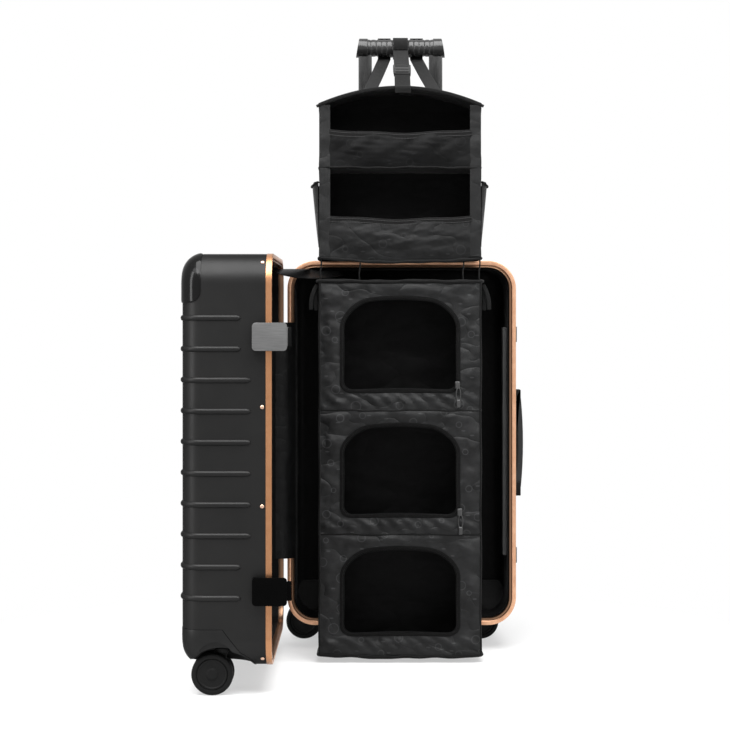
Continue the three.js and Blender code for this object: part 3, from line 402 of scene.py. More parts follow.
def shell_coat():
    """Matt painted shell: a fine grain, and a colour and gloss that vary softly over it."""
    f = Finish("shell_coat", "shell", Metallic=0.75, **DARK_COAT)
    cloudy = f.noise(6, 4)
    grain = f.noise(1900, 2)
    colour = f.mix(f.spread(cloudy), grey(0.0168), grey(0.0222, 0.01))
    worn = f.spread(f.noise(40, 5), 0.4, 0.8, to_high=0.06)
    rough = f.math("ADD", f.spread(grain, to_low=0.35, to_high=0.43), worn)
    return f.done(colour, rough, f.bump(grain, 0.12))


COPPER = (0.56, 0.30, 0.18, 1), (0.70, 0.41, 0.26, 1)
# Painted shade: copper darker in the groove and on the outer band, and a painted shadow line along
# the outer edge
COPPER_GROOVE_SHADE = (0.2, 0.115, 0.07, 1)
COPPER_OUTSIDE_SHADE = (0.3, 0.13, 0.05, 1)
COPPER_EDGE_SHADOW = (0.08, 0.03, 0.012, 1)
RIVET_COPPER = (0.5, 0.32, 0.23, 1), (0.6, 0.4, 0.3, 1)


def rail_metal(name, tones=COPPER, outer=0.0):
    """Brushed copper colour with painted shade: darker in the groove and on the inner band, a
    painted shadow line along the outer edge, and the outer band darker by a share.

    The rail's cloth attribute holds each point's inset and depth, in metres.
    """
    f = Finish(name, "frame", Metallic=0.9, Specular_IOR_Level=0.3)
    brushed = f.noise(90, 3, 0.6, f.mapped(Scale=(1, 60, 1)))
    colour = f.mix(f.spread(brushed), *tones)
    inset, depth, _ = f.axes(f.weave())
    # Painted shade: the groove and the inner band beyond it darker
    colour = f.mix(f.spread(inset, 0.0052, 0.0062), colour, COPPER_GROOVE_SHADE)
    # Painted shade: the outer band, set out past half a millimetre, darker by the share asked
    outside = f.spread(inset, -0.0005, -0.0003, 1, 0)
    colour = f.mix(f.math("MULTIPLY", outside, outer), colour, COPPER_OUTSIDE_SHADE)
    # Painted shadow: a dark line along the outer band's edge
    edge_shadow = f.math("MULTIPLY", outside, f.spread(depth, 0.0078, 0.0084, 0, 0.8))
    colour = f.mix(edge_shadow, colour, COPPER_EDGE_SHADOW)
    rough = f.spread(f.noise(40, 3), to_low=0.28, to_high=0.36)
    return f.done(colour, rough, f.bump(brushed, 0.03, 0.0002))


def plastic(name, slot, value, rough, grain=700, depth=0.15, **sockets):
    """Moulded plastic: a grain at one scale, its colour up by a third in cloudy patches."""
    f = Finish(name, slot, **sockets)
    fine = f.noise(grain, 3)
    colour = f.mix(f.spread(f.noise(25, 4), 0.35, 0.7), grey(value), grey(value * 1.35))
    return f.done(colour, f.spread(fine, 0.3, 0.7, *rough), f.bump(fine, depth))


def metal(name, slot, value, rough, stretch, metallic=0.9, end=None):
    """Brushed metal, black beyond x = end where an end is given."""
    f = Finish(name, slot, Metallic=metallic, Specular_IOR_Level=0.15)
    brushed = f.noise(60, 4, 0.6, f.mapped(Scale=stretch))
    colour = f.mix(f.spread(brushed), grey(value * 0.85), grey(value * 1.1))
    if end is not None:
        beyond = f.math("GREATER_THAN", f.axes(f.place)[0], end)
        colour = f.mix(beyond, colour, grey(0.006))
    return f.done(colour, f.spread(brushed, 0.3, 0.7, *rough), f.bump(brushed, 0.06, 0.0002))


def wave(f, value, pitch):
    """Sine of a length in metres, one wave to each pitch."""
    return f.math("SINE", f.math("MULTIPLY", value, TURN / pitch))


def scattered_marks(f):
    """Faint sparse marks: thin rings and short bars, one to a cell of two turned cell patterns."""
    distance, lot = f.cells(f.mapped(Rotation=(0, 0, 0.6), Location=(0.3, 0.7, 0)), 34, 0.75)
    size = f.spread(lot[0], 0, 1, 0.10, 0.24)
    off_ring = f.math("ABSOLUTE", f.math("SUBTRACT", distance, size))
    ring = f.math("MULTIPLY", f.math("LESS_THAN", off_ring, 0.016),
                  f.math("GREATER_THAN", lot[1], 0.42))
    distance, lot = f.cells(f.mapped(Rotation=(0, 0, -0.45), Scale=(1, 3.2, 1)), 24, 0.9)
    bar = f.math("MULTIPLY", f.math("LESS_THAN", distance, 0.07),
                 f.math("GREATER_THAN", lot[2], 0.55))
    return f.math("MAXIMUM", ring, bar)


THREAD = 0.0011
MARK = grey(0.075, -0.02)


def organizer_cloth(name, dark, pale, marks=0.0, relief=1.0, gloss=0.15):
    """Thin woven cloth: crossed threads, sharp folds over broad dents, and faint marks if asked;
    its colour runs from dark to pale along a crease pattern as painted crease shade and sheen.
    """
    f = Finish(name, "organizer_fabric", cloth=True, Sheen_Weight=0.03, Sheen_Roughness=0.4,
               Specular_IOR_Level=gloss)
    across, down, _ = f.axes(f.place)
    threads = f.math("MULTIPLY", wave(f, across, THREAD), wave(f, down, THREAD))
    creases = f.noise(26, 5, 0.62, f.mapped(Scale=(1, 1.7, 1)))
    # Painted shade and sheen: the colour goes from dark to pale along the crease pattern
    colour = f.mix(f.spread(creases, 0.35, 0.65), grey(dark, -0.02), grey(pale, -0.02))
    colour = f.mix(f.spread(threads, -1, 1, 0, 0.22), colour, grey(pale * 1.5, -0.02))
    if marks:
        colour = f.mix(f.math("MULTIPLY", scattered_marks(f), marks), colour, MARK)
    broad = f.noise(17, 1.5, 0.45, f.mapped(Scale=(1, 1.6, 1)))
    folds = f.math("POWER", f.math("ABSOLUTE", f.math("SUBTRACT", broad, 0.5)), 0.6)
    normal = f.bump(folds, 0.5 * relief, 0.006, f.bump(threads, 0.25))
    normal = f.bump(f.noise(30, 2, 0.5), 0.45 * relief, 0.006, normal)
    rough = f.spread(creases, to_low=0.34, to_high=0.5)
    return f.done(colour, rough, normal)


def ribbed_cloth(name, value, pitch, sheen=0.1, slot="organizer_fabric"):
    """Webbing and tape: ridges across the run and finer threads along it."""
    f = Finish(name, slot, cloth=True, Sheen_Weight=sheen, Sheen_Roughness=0.5,
               Specular_IOR_Level=0.08)
    across, along, _ = f.axes(f.place)
    threads = f.math("MULTIPLY", wave(f, across, pitch * 0.8), 0.6)
    height = f.math("ADD", wave(f, along, pitch), threads)
    colour = f.mix(f.spread(height, -1.4, 1.4), grey(value * 0.6), grey(value * 1.4))
    rough = f.spread(f.noise(300), to_low=0.6, to_high=0.78)
    return f.done(colour, rough, f.bump(height, 0.5, 0.0004))


def lining_cloth():
    """Thin dark lining with soft folds, longer down than across, with painted shade: darker in the
    folds' hollows, paler on their ridges.
    """
    f = Finish("lining_cloth", "lining", Sheen_Weight=0.02, Sheen_Roughness=0.35,
               Specular_IOR_Level=0.06)
    folds = f.noise(14, 5, 0.6, f.mapped(Scale=(1.6, 1, 1)))
    # Painted shade: the colour follows the fold relief, darker in its hollows and paler on its
    # ridges
    colour = f.mix(f.spread(folds, 0.35, 0.7), grey(0.002), grey(0.0045))
    normal = f.bump(folds, 0.6, 0.006, f.bump(f.noise(1500, 2), 0.2))
    rough = f.spread(folds, to_low=0.42, to_high=0.6)
    return f.done(colour, rough, normal)


def black_plastic(name, value, rough, grain, depth, specular):
    return plastic(name, "black_plastic", value, rough, grain, depth, Specular_IOR_Level=specular)


SHELL = shell_coat()
RAIL = rail_metal("rail_metal")
# The lid's rail: a copy of the rail copper whose outer band is darkened by three quarters as
# painted shade
SHADED_LID_RAIL = rail_metal("lid_rail_metal", outer=0.75)
RIVET = rail_metal("rivet_metal", RIVET_COPPER)
GLOSS = plastic("gloss_black", "corner_cap", 0.007, (0.15, 0.21), 60, 0.02,
                Metallic=0.7, Coat_Weight=0.12, Coat_Roughness=0.06, **DARK_COAT)
HOUSING = plastic("housing_black", "black_plastic", 0.0168, (0.38, 0.46), 1500, 0.08,
                  Metallic=0.75, **DARK_COAT)
MOULDED = black_plastic("moulded_black", 0.004, (0.42, 0.55), 700, 0.15, 0.1)
HANDLE = black_plastic("grip_black", 0.01, (0.22, 0.28), 120, 0.0, 0.35)
BUCKLE = black_plastic("buckle_black", 0.006, (0.34, 0.42), 400, 0.05, 0.16)
BACKING = black_plastic("backing_grey", 0.055, (0.5, 0.6), 500, 0.2, 0.1)
TREAD = plastic("wheel_tread", "tread", 0.005, (0.55, 0.75), 350, 0.25, Specular_IOR_Level=0.08)
LATCH_BLACK = plastic("latch_black", "latch_black", 0.0008, (0.3, 0.4), 900, 0.05,
                      Specular_IOR_Level=0.02)
LATCH_GREY = metal("latch_grey", "latch_grey", 0.138, (0.3, 0.42), (1, 1, 18), 0.75, -0.0953)
TUBE = metal("brushed_tube", "tube", 0.027, (0.16, 0.26), (12, 12, 0.6), 0.95)
PULL = metal("zip_pull", "black_plastic", 0.06, (0.3, 0.45), (1, 1, 1), 0.8)
LINING = lining_cloth()
PANEL = organizer_cloth("organizer_print", 0.003, 0.01, 0.24, 1.6)
POCKET = organizer_cloth("organizer_pocket", 0.001, 0.0035, 0.05, 0.5, 0.07)
LOWER_POCKET = organizer_cloth("organizer_lower_pocket", 0.002, 0.0068, 0.12, 0.8, 0.12)
PLAIN = organizer_cloth("organizer_plain", 0.0018, 0.0042, 0.0, 0.4, 0.06)
STRIP = organizer_cloth("organizer_strip", 0.0035, 0.0065, 0.0, 0.5)
BINDING = ribbed_cloth("binding_tape", 0.003, 0.0012, 0.04)
HEM = ribbed_cloth("hem_tape", 0.003, 0.0009, 0.05)
STITCH = ribbed_cloth("stitched_thread", 0.02, 0.004)
TAPE = ribbed_cloth("zip_tape", 0.001, 0.0009, 0.02)
TEETH = ribbed_cloth("zip_teeth", 0.002, 0.0018, 0, "black_plastic")
WEBBING = ribbed_cloth("strap_webbing", 0.0035, 0.0016, 0.04, "webbing")


# Pieces

def tidy(obj, angle, weld=True):
    """Doubles merged, faces turned outwards, edges sharper than the angle kept crisp."""
    mesh = obj.data
    if weld:
        work = bmesh.new()
        work.from_mesh(mesh)
        bmesh.ops.remove_doubles(work, verts=work.verts, dist=2e-6)
        bmesh.ops.dissolve_degenerate(work, edges=work.edges, dist=1e-7)
        bmesh.ops.recalc_face_normals(work, faces=work.faces)
        work.to_mesh(mesh)
        work.free()
    mesh.polygons.foreach_set("use_smooth", np.ones(len(mesh.polygons), bool))
    mesh.set_sharp_from_angle(angle=math.radians(angle))


def dress(obj, material, body=None, nodes=(), angle=32, weld=True):
    """Gives a piece its material and the body that it rides on, and hides the nodes that it stands
    for.
    """
    obj.data.materials.clear()
    obj.data.materials.append(material)
    tidy(obj, angle, weld)
    if nodes:
        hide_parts(*nodes)
    if body:
        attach(obj, body)
    return obj


def swung(points):
    """Points on the closed lid, turned to where the lid stands open."""
    return (points - HINGE) @ SWING + HINGE


def make(name, form, material=None, body=None, nodes=(), angle=32, half=None):
    """A mesh piece from a form in the case frame, which swings and rides with its half."""
    points, faces, cloth = form
    if half is LID:
        points = swung(points)
    mesh = bpy.data.meshes.new(name)
    mesh.from_pydata(((points + SHIFT) / MM).tolist(), [], faces.tolist())
    if cloth is not None:
        weave = mesh.attributes.new("cloth", "FLOAT_VECTOR", "POINT")
        weave.data.foreach_set("vector", cloth.astype(np.float32).ravel())
    obj = put(name, mesh)
    if material:
        return dress(obj, material, body or (half.body if half else None), nodes, angle)
    tidy(obj, angle)
    return obj


def apply_modifiers(obj):
    graph = bpy.context.evaluated_depsgraph_get()
    mesh = bpy.data.meshes.new_from_object(obj.evaluated_get(graph), depsgraph=graph)
    obj.modifiers.clear()
    obj.data = mesh
    return obj


def carve(obj, cutter, operation="DIFFERENCE"):
    """obj cut by, cut down to or joined with another closed mesh, which is then removed."""
    modifier = obj.modifiers.new("carve", "BOOLEAN")
    modifier.object, modifier.operation, modifier.solver = cutter, operation, "EXACT"
    apply_modifiers(obj)
    bpy.data.objects.remove(cutter)
    return obj


def round_edges(obj, width, segments, angle):
    """Edges sharper than the angle rounded to the width, in millimetres."""
    modifier = obj.modifiers.new("round", "BEVEL")
    modifier.width, modifier.segments = width / MM, segments
    modifier.limit_method, modifier.angle_limit = "ANGLE", math.radians(angle)
    return apply_modifiers(obj)


def refined(node_name, material, body, bevel, segments=2, angle=32):
    """A CAD piece's own shape with its doubles merged, flat faces cleaned and edges rounded."""
    obj = put(node_name + "_dressed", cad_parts[node_name].data.copy())
    obj.data.materials.clear()
    obj.data.materials.append(material)
    work = bmesh.new()
    work.from_mesh(obj.data)
    bmesh.ops.remove_doubles(work, verts=work.verts, dist=2e-6)
    bmesh.ops.dissolve_limit(work, angle_limit=math.radians(1), verts=work.verts, edges=work.edges)
    work.to_mesh(obj.data)
    work.free()
    round_edges(obj, bevel, segments, 40)
    return dress(obj, material, body, [node_name], angle, weld=False)


# The two halves

# How far cutters reach past what they cut, and the corner block stands off from each piece
OVER = 3
SHELL_GAP, ROOM_GAP, HOUSING_GAP = 0.3, 1.5, -0.1
SWIVEL_IN = 32
DRUM_RADIUS, DRUM_SHOULDER = 43.5, 32
WELL_RADIUS, WELL_SHOULDER = 41.5, 30
BLOCK_WIDTH, BLOCK_HEIGHT, BLOCK_KNEE = 81, 49, 17.4
BLOCK_DEPTHS = 52, 76, 79


def across_case(half, outline, spans):
    """A prism along X between two X values, from an outline of (depth, height) points."""
    depth, z = np.asarray(outline, float).T
    return closed_form([xyz(x, half.y(depth), z) for x in spans])


def domed_drum(half, side_x, radius, shoulder, bottom, count):
    """A drum about a swivel: its radius is a sine to the 0.8, its height a cosine to the 0.7."""
    rise = np.linspace(0, QUARTER, count)
    dome = np.column_stack([radius * np.sin(rise) ** 0.8, shoulder + 34 * np.cos(rise) ** 0.7])
    profile = np.concatenate([dome, [[radius, bottom], [0, bottom]]])
    return make("drum", turned(profile, swivel(half, side_x), "z"), half=half)


def swivel(half, side_x):
    """Where a caster's swivel axis meets the floor, with the lid closed."""
    return np.array([side_x * (HALF_WIDTH - SWIVEL_IN), half.y(half.depth - half.swivel_back), 0])


def corner_block(half, side_x, grow):
    """The corner block under a caster: a five-sided prism and a drum round the wheels."""
    top, foot = CASE_BOTTOM + BLOCK_HEIGHT + grow, CASE_BOTTOM - OVER
    near, knee, far = (half.depth - back - grow for back in BLOCK_DEPTHS)
    outline = [(half.depth + OVER, foot), (half.depth + OVER, top), (near, top),
               (knee, CASE_BOTTOM + BLOCK_KNEE + grow), (far, foot)]
    spans = side_x * (HALF_WIDTH + OVER), side_x * (HALF_WIDTH - BLOCK_WIDTH - grow)
    prism = make("prism", across_case(half, outline, spans), half=half)
    drum = domed_drum(half, side_x, DRUM_RADIUS + grow, DRUM_SHOULDER + grow, CASE_BOTTOM - 8, 14)
    return carve(prism, drum, "UNION")


def half_solid(half, inset, mouth, back, steps=14, name="solid"):
    rings = rings_of(half, edge_profile(inset, mouth, back), steps)
    return make(name, closed_form(rings), half=half)


def add_shell(half):
    """Pressed shell: an outer and an inner skin, each a stack of rings, less the corner blocks."""
    outer = rings_of(half, edge_profile(0, MOUTH, half.depth))
    inner = rings_of(half, edge_profile(SKIN, MOUTH, half.depth - SKIN))[::-1]
    rows, columns = outer.shape[:2]
    skin = grid_faces(rows, columns, wrap_columns=True)
    lip = np.stack([np.arange(columns), np.roll(np.arange(columns), -1)], -1)
    start = rows * columns + (rows - 1) * columns
    rim = np.concatenate([lip, lip[:, ::-1] + start], 1)
    points = np.concatenate([outer, inner]).reshape(-1, 3)
    faces = np.concatenate([skin, skin + rows * columns, rim])
    shell = make(half.name + "_pressed_shell", (points, faces, None), half=half)
    for _, side_x in SIDES:
        carve(shell, corner_block(half, side_x, SHELL_GAP))
    dress(shell, SHELL, half.body, [half.name + "_shell"])


RIB_ROWS, RIB_LOWEST, RIB_PITCH = 10, 125, 38.95
RIB_HALF_WIDTH, RIB_HEIGHT, RIB_TIP = 3.7, 2.4, 7
RIB_START, SHORT_RIB_START = 26.0, 38.5


def rib_form(half, z, start):
    """One rib: a low bell-shaped section carried over both side walls and the face between."""
    turn = np.linspace(0, QUARTER, 17)
    tip = start + RIB_TIP * (1 - np.cos(np.linspace(0, QUARTER, 9)))
    wall = np.concatenate([tip, np.linspace(start + 12, half.depth - EDGE - 1, 6)])
    x = np.concatenate([np.full(len(wall), HALF_WIDTH), HALF_WIDTH - EDGE * (1 - np.cos(turn)),
                        np.linspace(110, 0, 5)])
    y = np.concatenate([wall, half.depth - EDGE + EDGE * np.sin(turn), np.full(5, half.depth)])
    angle = np.concatenate([np.zeros(len(wall)), turn, np.full(5, QUARTER)])
    far = np.minimum((np.concatenate([wall, np.full(22, 1e3)]) - start) / RIB_TIP, 1)
    size = np.sqrt(np.maximum(1 - (1 - far) ** 2, 0.0009))
    mirror = slice(-2, None, -1)
    x, y = np.concatenate([x, -x[mirror]]), np.concatenate([y, y[mirror]])
    angle = np.concatenate([angle, math.pi - angle[mirror]])[:, None]
    size = np.concatenate([size, size[mirror]])[:, None]
    across = np.array([-1, -0.86, -0.66, -0.4, -0.14, 0.14, 0.4, 0.66, 0.86, 1])
    bell = RIB_HEIGHT * (1 - np.abs(across) ** 2.6) ** 0.9
    rise = np.concatenate([bell, [-0.7, -0.7]])
    across = np.concatenate([across, [0.9, -0.9]]) * RIB_HALF_WIDTH
    lift = np.where(rise > 0, rise * size, rise)
    x, y = x[:, None] + lift * np.cos(angle), y[:, None] + lift * np.sin(angle)
    return closed_form(xyz(x, half.y(y), z + across * size))


def add_ribs(half):
    """Ten ribs, the outer two at each end starting further from the mouth."""
    starts = [SHORT_RIB_START if row in (0, 1, 8, 9) else RIB_START for row in range(RIB_ROWS)]
    ribs = [rib_form(half, RIB_LOWEST + row * RIB_PITCH, start) for row, start in enumerate(starts)]
    make(half.name + "_ribs", joined(ribs), SHELL, angle=50, half=half)


RAIL_SECTION = [(-0.6, 0), (5.1, 0), (5.7, 1.1), (5.9, 2.5), (7.9, 2.5), (8.1, 0.3), (9, 0.3),
                (9, 10), (3.1, 10), (3.1, 18), (1.5, 18), (1.5, 7.6), (-0.6, 7.6)]
RIVET_RADIUS, RIVET_DEPTH, RIVET_HEIGHTS = 2.6, 12, (364, 240)


def rivet_places():
    """(x, z) of each rivet on the case's outline, with the outward direction there."""
    slant = math.sqrt(0.5)
    reach = CORNER * (1 - slant)
    x, z = HALF_WIDTH - reach, HALF_HEIGHT - reach
    corners = [(sx * x, CASE_MIDDLE + sz * z, sx * slant, sz * slant)
               for sx in (-1, 1) for sz in (-1, 1)]
    return corners + [(HALF_WIDTH, z, 1, 0) for z in RIVET_HEIGHTS]


def add_frame(half):
    """Frame rail: a grooved section carried round the mouth. Its rivets are domes on shanks."""
    section = np.array(bevelled(RAIL_SECTION, 0.5))
    rail = rings_of(half, section)
    place = np.zeros(rail.shape)
    place[..., :2] = section[:, None] / MM
    make(half.name + "_rail", grid_form(rail, True, True, place), SHADED_LID_RAIL if half is LID else RAIL,
         nodes=[half.name + "_frame"], angle=40, half=half)
    t = np.linspace(0, QUARTER, 7)
    dome = np.column_stack([RIVET_RADIUS * np.cos(t), 0.35 + 1.1 * np.sin(t)])
    profile = np.concatenate([[[0, -2.5], [1.2, -2.5], [1.2, 0.2], [RIVET_RADIUS, 0.2]], dome])
    points, faces, _ = turned(profile, (0, 0, 0), "x", 20)
    out, y, up = points.T
    y = y + half.y(RIVET_DEPTH)
    rivets = [(xyz(x + out * nx - up * nz, y, z + out * nz + up * nx), faces, None)
              for x, z, nx, nz in rivet_places()]
    make(half.name + "_rivets", joined(rivets), RIVET, half=half)


def add_lining(half):
    """Lining: a case form with creases pushed into its inner face, less the corner blocks."""
    back, inset = half.lining_back, LINING_INSET + SKIN
    lining = half_solid(half, LINING_INSET, 7.0, back, 6, half.name + "_cloth_lining")
    walls = [(inset, d) for d in np.linspace(-OVER, back - 22, 10)]
    face = edge_profile(inset, 0, back - SKIN, 6, np.linspace(34, 162.9, 12))[1:]
    rings = rings_of(half, walls + face, 5, 26)
    crease = np.abs(ripple(rings, half.crease_seed, (120, 120, 160), 1.6))
    depth_share = np.clip((np.abs(rings[..., 1]) - 4) / 20, 0, 1)[..., None]
    towards = unit(np.array([0, half.side * back / 2, CASE_MIDDLE]) - rings)
    rings = rings + towards * np.minimum(crease, 1.9)[..., None] * depth_share
    room = make("room", closed_form(rings), half=half)
    for _, side_x in SIDES:
        carve(lining, corner_block(half, side_x, SHELL_GAP))
        carve(room, corner_block(half, side_x, ROOM_GAP))
    carve(lining, room)
    dress(lining, LINING, half.body, [half.name + "_lining"], 50)


def on_corner(half, t, s, lift):
    """Points on an upper outer corner: t runs up the side and over the top, s from the mouth."""
    turn = np.clip(t / CORNER, 0, QUARTER)
    roll = np.clip(s / EDGE, 0, QUARTER)
    inset = EDGE * (1 - np.cos(roll)) + np.maximum(s - EDGE * QUARTER, 0)
    y = half.depth - EDGE + np.minimum(s, 0) + EDGE * np.sin(roll)
    reach = CORNER - inset + lift * np.cos(roll)
    x = HALF_WIDTH - CORNER + reach * np.cos(turn) - np.maximum(t - CORNER * QUARTER, 0)
    z = CASE_MIDDLE + HALF_HEIGHT - CORNER + reach * np.sin(turn) + np.minimum(t, 0)
    return xyz(x, half.y(y + lift * np.sin(roll)), z)


CAP_FROM, CAP_TO = -23.0, CORNER * QUARTER + 6
CAP_MOUTH, CAP_FACE, CAP_ARCH = 2, 50.0, 15


def add_caps(half):
    """Corner caps: a patch of the shell's surface, crowned a little, its free corners arched."""
    rows, columns = 61, 41
    t = CAP_FROM + (CAP_TO - CAP_FROM) * (1 - np.cos(np.linspace(0, math.pi, rows))) / 2
    from_end = np.minimum(t - CAP_FROM, CAP_TO - t)
    short = CAP_ARCH - np.minimum(from_end, CAP_ARCH)
    arch = CAP_ARCH - np.sqrt(np.maximum(CAP_ARCH**2 - short**2, 0))
    share = np.linspace(0, 1, columns)
    s = (CAP_MOUTH + arch)[:, None] * (1 - share) + CAP_FACE * share
    t = np.broadcast_to(t[:, None], s.shape)
    near_edge = np.minimum(share * 22, (1 - share) * 12)
    middle = np.clip(np.minimum(from_end[:, None] / 3, near_edge), 0, 1)
    outer = on_corner(half, t, s, 1.0 + 0.75 * np.sqrt(middle))
    inner = on_corner(half, t, s, 0.35)
    rings = np.concatenate([outer, inner[:, ::-1]], 1)
    over, under = np.arange(columns), np.arange(2 * columns - 1, columns - 1, -1)
    ends = np.stack([over[:-1], over[1:], under[1:], under[:-1]], -1)
    faces = np.concatenate([grid_faces(rows, 2 * columns, wrap_columns=True), ends,
                            ends + (rows - 1) * 2 * columns])
    for name, sign in SIDES:
        form = (rings * [sign, 1, 1]).reshape(-1, 3), faces, None
        make(f"{half.name}_gloss_cap_{name}", form, GLOSS, nodes=[f"{half.name}_corner_cap_{name}"],
             angle=40, half=half)


ARCH_BACK, ARCH_HALF, ARCH_HEIGHT, ARCH_IN = 43, 26.7, 33.9, 11


def add_housing(half, name, side_x):
    """Wheel housing: the case form cut down to the corner block, less the well and the arch."""
    name = f"{half.name}_{name}_wheel_housing"
    housing = half_solid(half, -0.5, MOUTH, half.depth + 0.5, name=name + "_moulded")
    carve(housing, corner_block(half, side_x, HOUSING_GAP), "INTERSECT")
    carve(housing, domed_drum(half, side_x, WELL_RADIUS, WELL_SHOULDER, 20, 12))
    t = np.linspace(0, math.pi, 33)
    middle = half.depth - ARCH_BACK
    bow = np.column_stack([middle + ARCH_HALF * np.cos(t), CASE_BOTTOM + ARCH_HEIGHT * np.sin(t)])
    outline = np.concatenate([bow, [[middle - ARCH_HALF, 20], [middle + ARCH_HALF, 20]]])
    spans = side_x * (HALF_WIDTH - ARCH_IN), side_x * (HALF_WIDTH + 4)
    carve(housing, make("arch", across_case(half, outline, spans), half=half))
    round_edges(housing, 0.6, 2, 45)
    dress(housing, HOUSING, half.body, [name], 30)


TYRE = [(19.5, 5.2), (24.6, 5.2), (25.9, 5.9), (26.45, 7.2), (26.5, 10.4), (26.4, 12.6),
        (26.0, 14.2), (25.1, 15.4), (23.8, 15.95), (21.6, 16), (20.6, 15.7), (20.2, 15.1),
        (20, 14.4), (19.5, 14.2), (19.5, 5.2)]
HUB = [(0, 5), (19.3, 5), (19.3, 14.3), (18.8, 14.9), (17.8, 15.1), (16.9, 14.8), (16.2, 14.1),
       (12, 13.5), (8.2, 13.5), (7.4, 13.9), (6.9, 14.7), (6.2, 15.2), (4, 15.5), (0, 15.6)]
AXLE = [(0, -6), (3.4, -6), (3.4, 6), (0, 6)]
WHEEL_RADIUS, TRAIL = 26.5, 12


def add_caster(half, name, side_x):
    """Twin wheels on a fork that trails its swivel: tyres, dished hubs with a boss, an axle."""
    label = f"{half.name}_{name}"
    spot = swivel(half, side_x)
    centre = (swung(spot) if half is LID else spot) + [-TRAIL, 0, WHEEL_RADIUS]
    tyres, hubs = ([turned([(r, way * a) for r, a in profile], centre, "y", count)
                    for way in (-1, 1)] for profile, count in ((TYRE, 72), (HUB, 56)))
    axle = turned(AXLE, centre, "y", 24)
    make(label + "_tyres", joined(tyres), TREAD, label + "_wheels", [label + "_twin_wheel"])
    make(label + "_hubs", joined(hubs + [axle]), MOULDED, label + "_wheels")
    refined(label + "_caster_fork", MOULDED, label + "_swivel", 0.9, 3)


for half in (BASE, LID):
    add_shell(half)
    add_ribs(half)
    add_frame(half)
    add_lining(half)
    add_caps(half)
    for side_name, side_x in SIDES:
        add_housing(half, side_name, side_x)
        add_caster(half, side_name, side_x)

# Hinge, latches, trolley and carry handle: node, material, body, bevel, segments and crisp angle

for row in [
    ("hinge_base_leaf", LATCH_BLACK, "root", 0.25),
    ("hinge_lid_leaf", LATCH_BLACK, "lid", 0.25),
    ("upper_latch_lever", LATCH_GREY, "upper_lever", 0.8, 3),
    ("upper_latch_body", LATCH_BLACK, "lid", 0.3),
    ("upper_latch_keeper", LATCH_BLACK, "root", 0.5),
    ("lower_latch_lever", LATCH_BLACK, "lower_lever", 0.8, 3),
    ("lower_latch_body", LATCH_BLACK, "lid", 0.3),
    ("lower_latch_keeper", LATCH_BLACK, "root", 0.5),
    ("trolley_outer_tubes", TUBE, "root", 0.4, 3, 40),
    ("trolley_middle_tube_left", TUBE, "handle_middle", 1.6, 3, 40),
    ("trolley_middle_tube_right", TUBE, "handle_middle", 1.6, 3, 40),
    ("trolley_inner_tube_left", TUBE, "handle_inner", 1.6, 3, 40),
    ("trolley_inner_tube_right", TUBE, "handle_inner", 1.6, 3, 40),
    ("trolley_bezel", MOULDED, "root", 0.9, 3),
    ("trolley_button", HANDLE, "handle_button", 0.8, 3),
    ("carry_handle_mount", MOULDED, "root", 0.9, 3),
    ("carry_handle_grip", HANDLE, "carry_grip", 1.4, 3),
    ("carry_handle_backing", BACKING, "root", 1.2, 3),
]:
    refined(*row)

GRIP_Y, GRIP_Z = 108.0, 877.5
GRIP_HALF, RIBBED_HALF, CAP_RADIUS, CAP_LEAN = 66, 47.5, 14.2, 5


def add_grip():
    """Trolley grip: a round bar between end caps, ribbed by the square root of a cosine.

    The caps lean in from their lower to their upper edge.
    """
    s = np.linspace(-RIBBED_HALF, RIBBED_HALF, 340)
    ribs = 11.7 + 1.05 * np.sqrt(np.abs(np.cos(math.pi * s / 8)))
    t = np.linspace(0, QUARTER, 6)
    end = zip(12.2 + 2.0 * np.sin(t), GRIP_HALF - 2.2 * (1 - np.cos(QUARTER - t)))
    cap = [(0, GRIP_HALF), *end, (CAP_RADIUS, 60), (CAP_RADIUS, 49.4), (13.8, 48.7), (12.9, 48.3)]
    profile = [(r, -a) for r, a in cap] + list(zip(ribs, s)) + cap[::-1]
    points, faces, _ = turned(profile, (0, GRIP_Y, GRIP_Z), "x", 72)
    outward = np.clip((np.abs(points[:, 0]) - 49) / 17, 0, 1)
    upward = np.clip((points[:, 2] - GRIP_Z) / (2 * CAP_RADIUS) + 0.5, 0, 1)
    points[:, 0] -= np.sign(points[:, 0]) * CAP_LEAN * outward * upward
    make("trolley_ribbed_grip", (points, faces, None), HANDLE, "handle_inner", ["trolley_grip"], 40)


add_grip()

# Organizer: X = 0 on its own middle, which hangs a little to the left of the case's

OFFSET = -4.0
WIDE, BACK, FRONT = 111.5, -6.5, -96.0
LEVELS = {"top": 769.0, "upper_shelf": 683.0, "floor": 560.0, "lower_top": 526.0,
          "middle": 348.0, "lower": 177.0, "bottom": 11.0}
CLOTH = 1.1
FACING = (0, -1, 0)
UP = (0, 0, 1)


def hang(name, form, material, body, fold=None, nodes=()):
    """A piece of the organizer, moved to its place, with a mesh of its own if a fold is given.

    A fold names a joint and the two heights between which the piece hangs.
    """
    points, faces, cloth = form
    obj = make("organizer_" + name, (points + [OFFSET, 0, 0], faces, cloth), material, body, nodes)
    if fold:
        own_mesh(obj)
    return obj


def hang_sheet(name, grid, material, body, held, rests_on, thickness=CLOTH, flat=False, **more):
    """A cloth of the organizer from its grid, given a thickness; the pieces that it rests on are
    not used.
    """
    sheet = hang(name, slab(grid, thickness, flat=flat), material, body, **more)


ABOVE = {1: "organizer_roof", 2: "organizer_board_upper_shelf", 3: "organizer_board_lower_top",
         4: "organizer_board_middle_shelf", 5: "organizer_board_lower_shelf"}
STRIP_WIDTH = 15.0
PLAN_RADIUS = 5.0


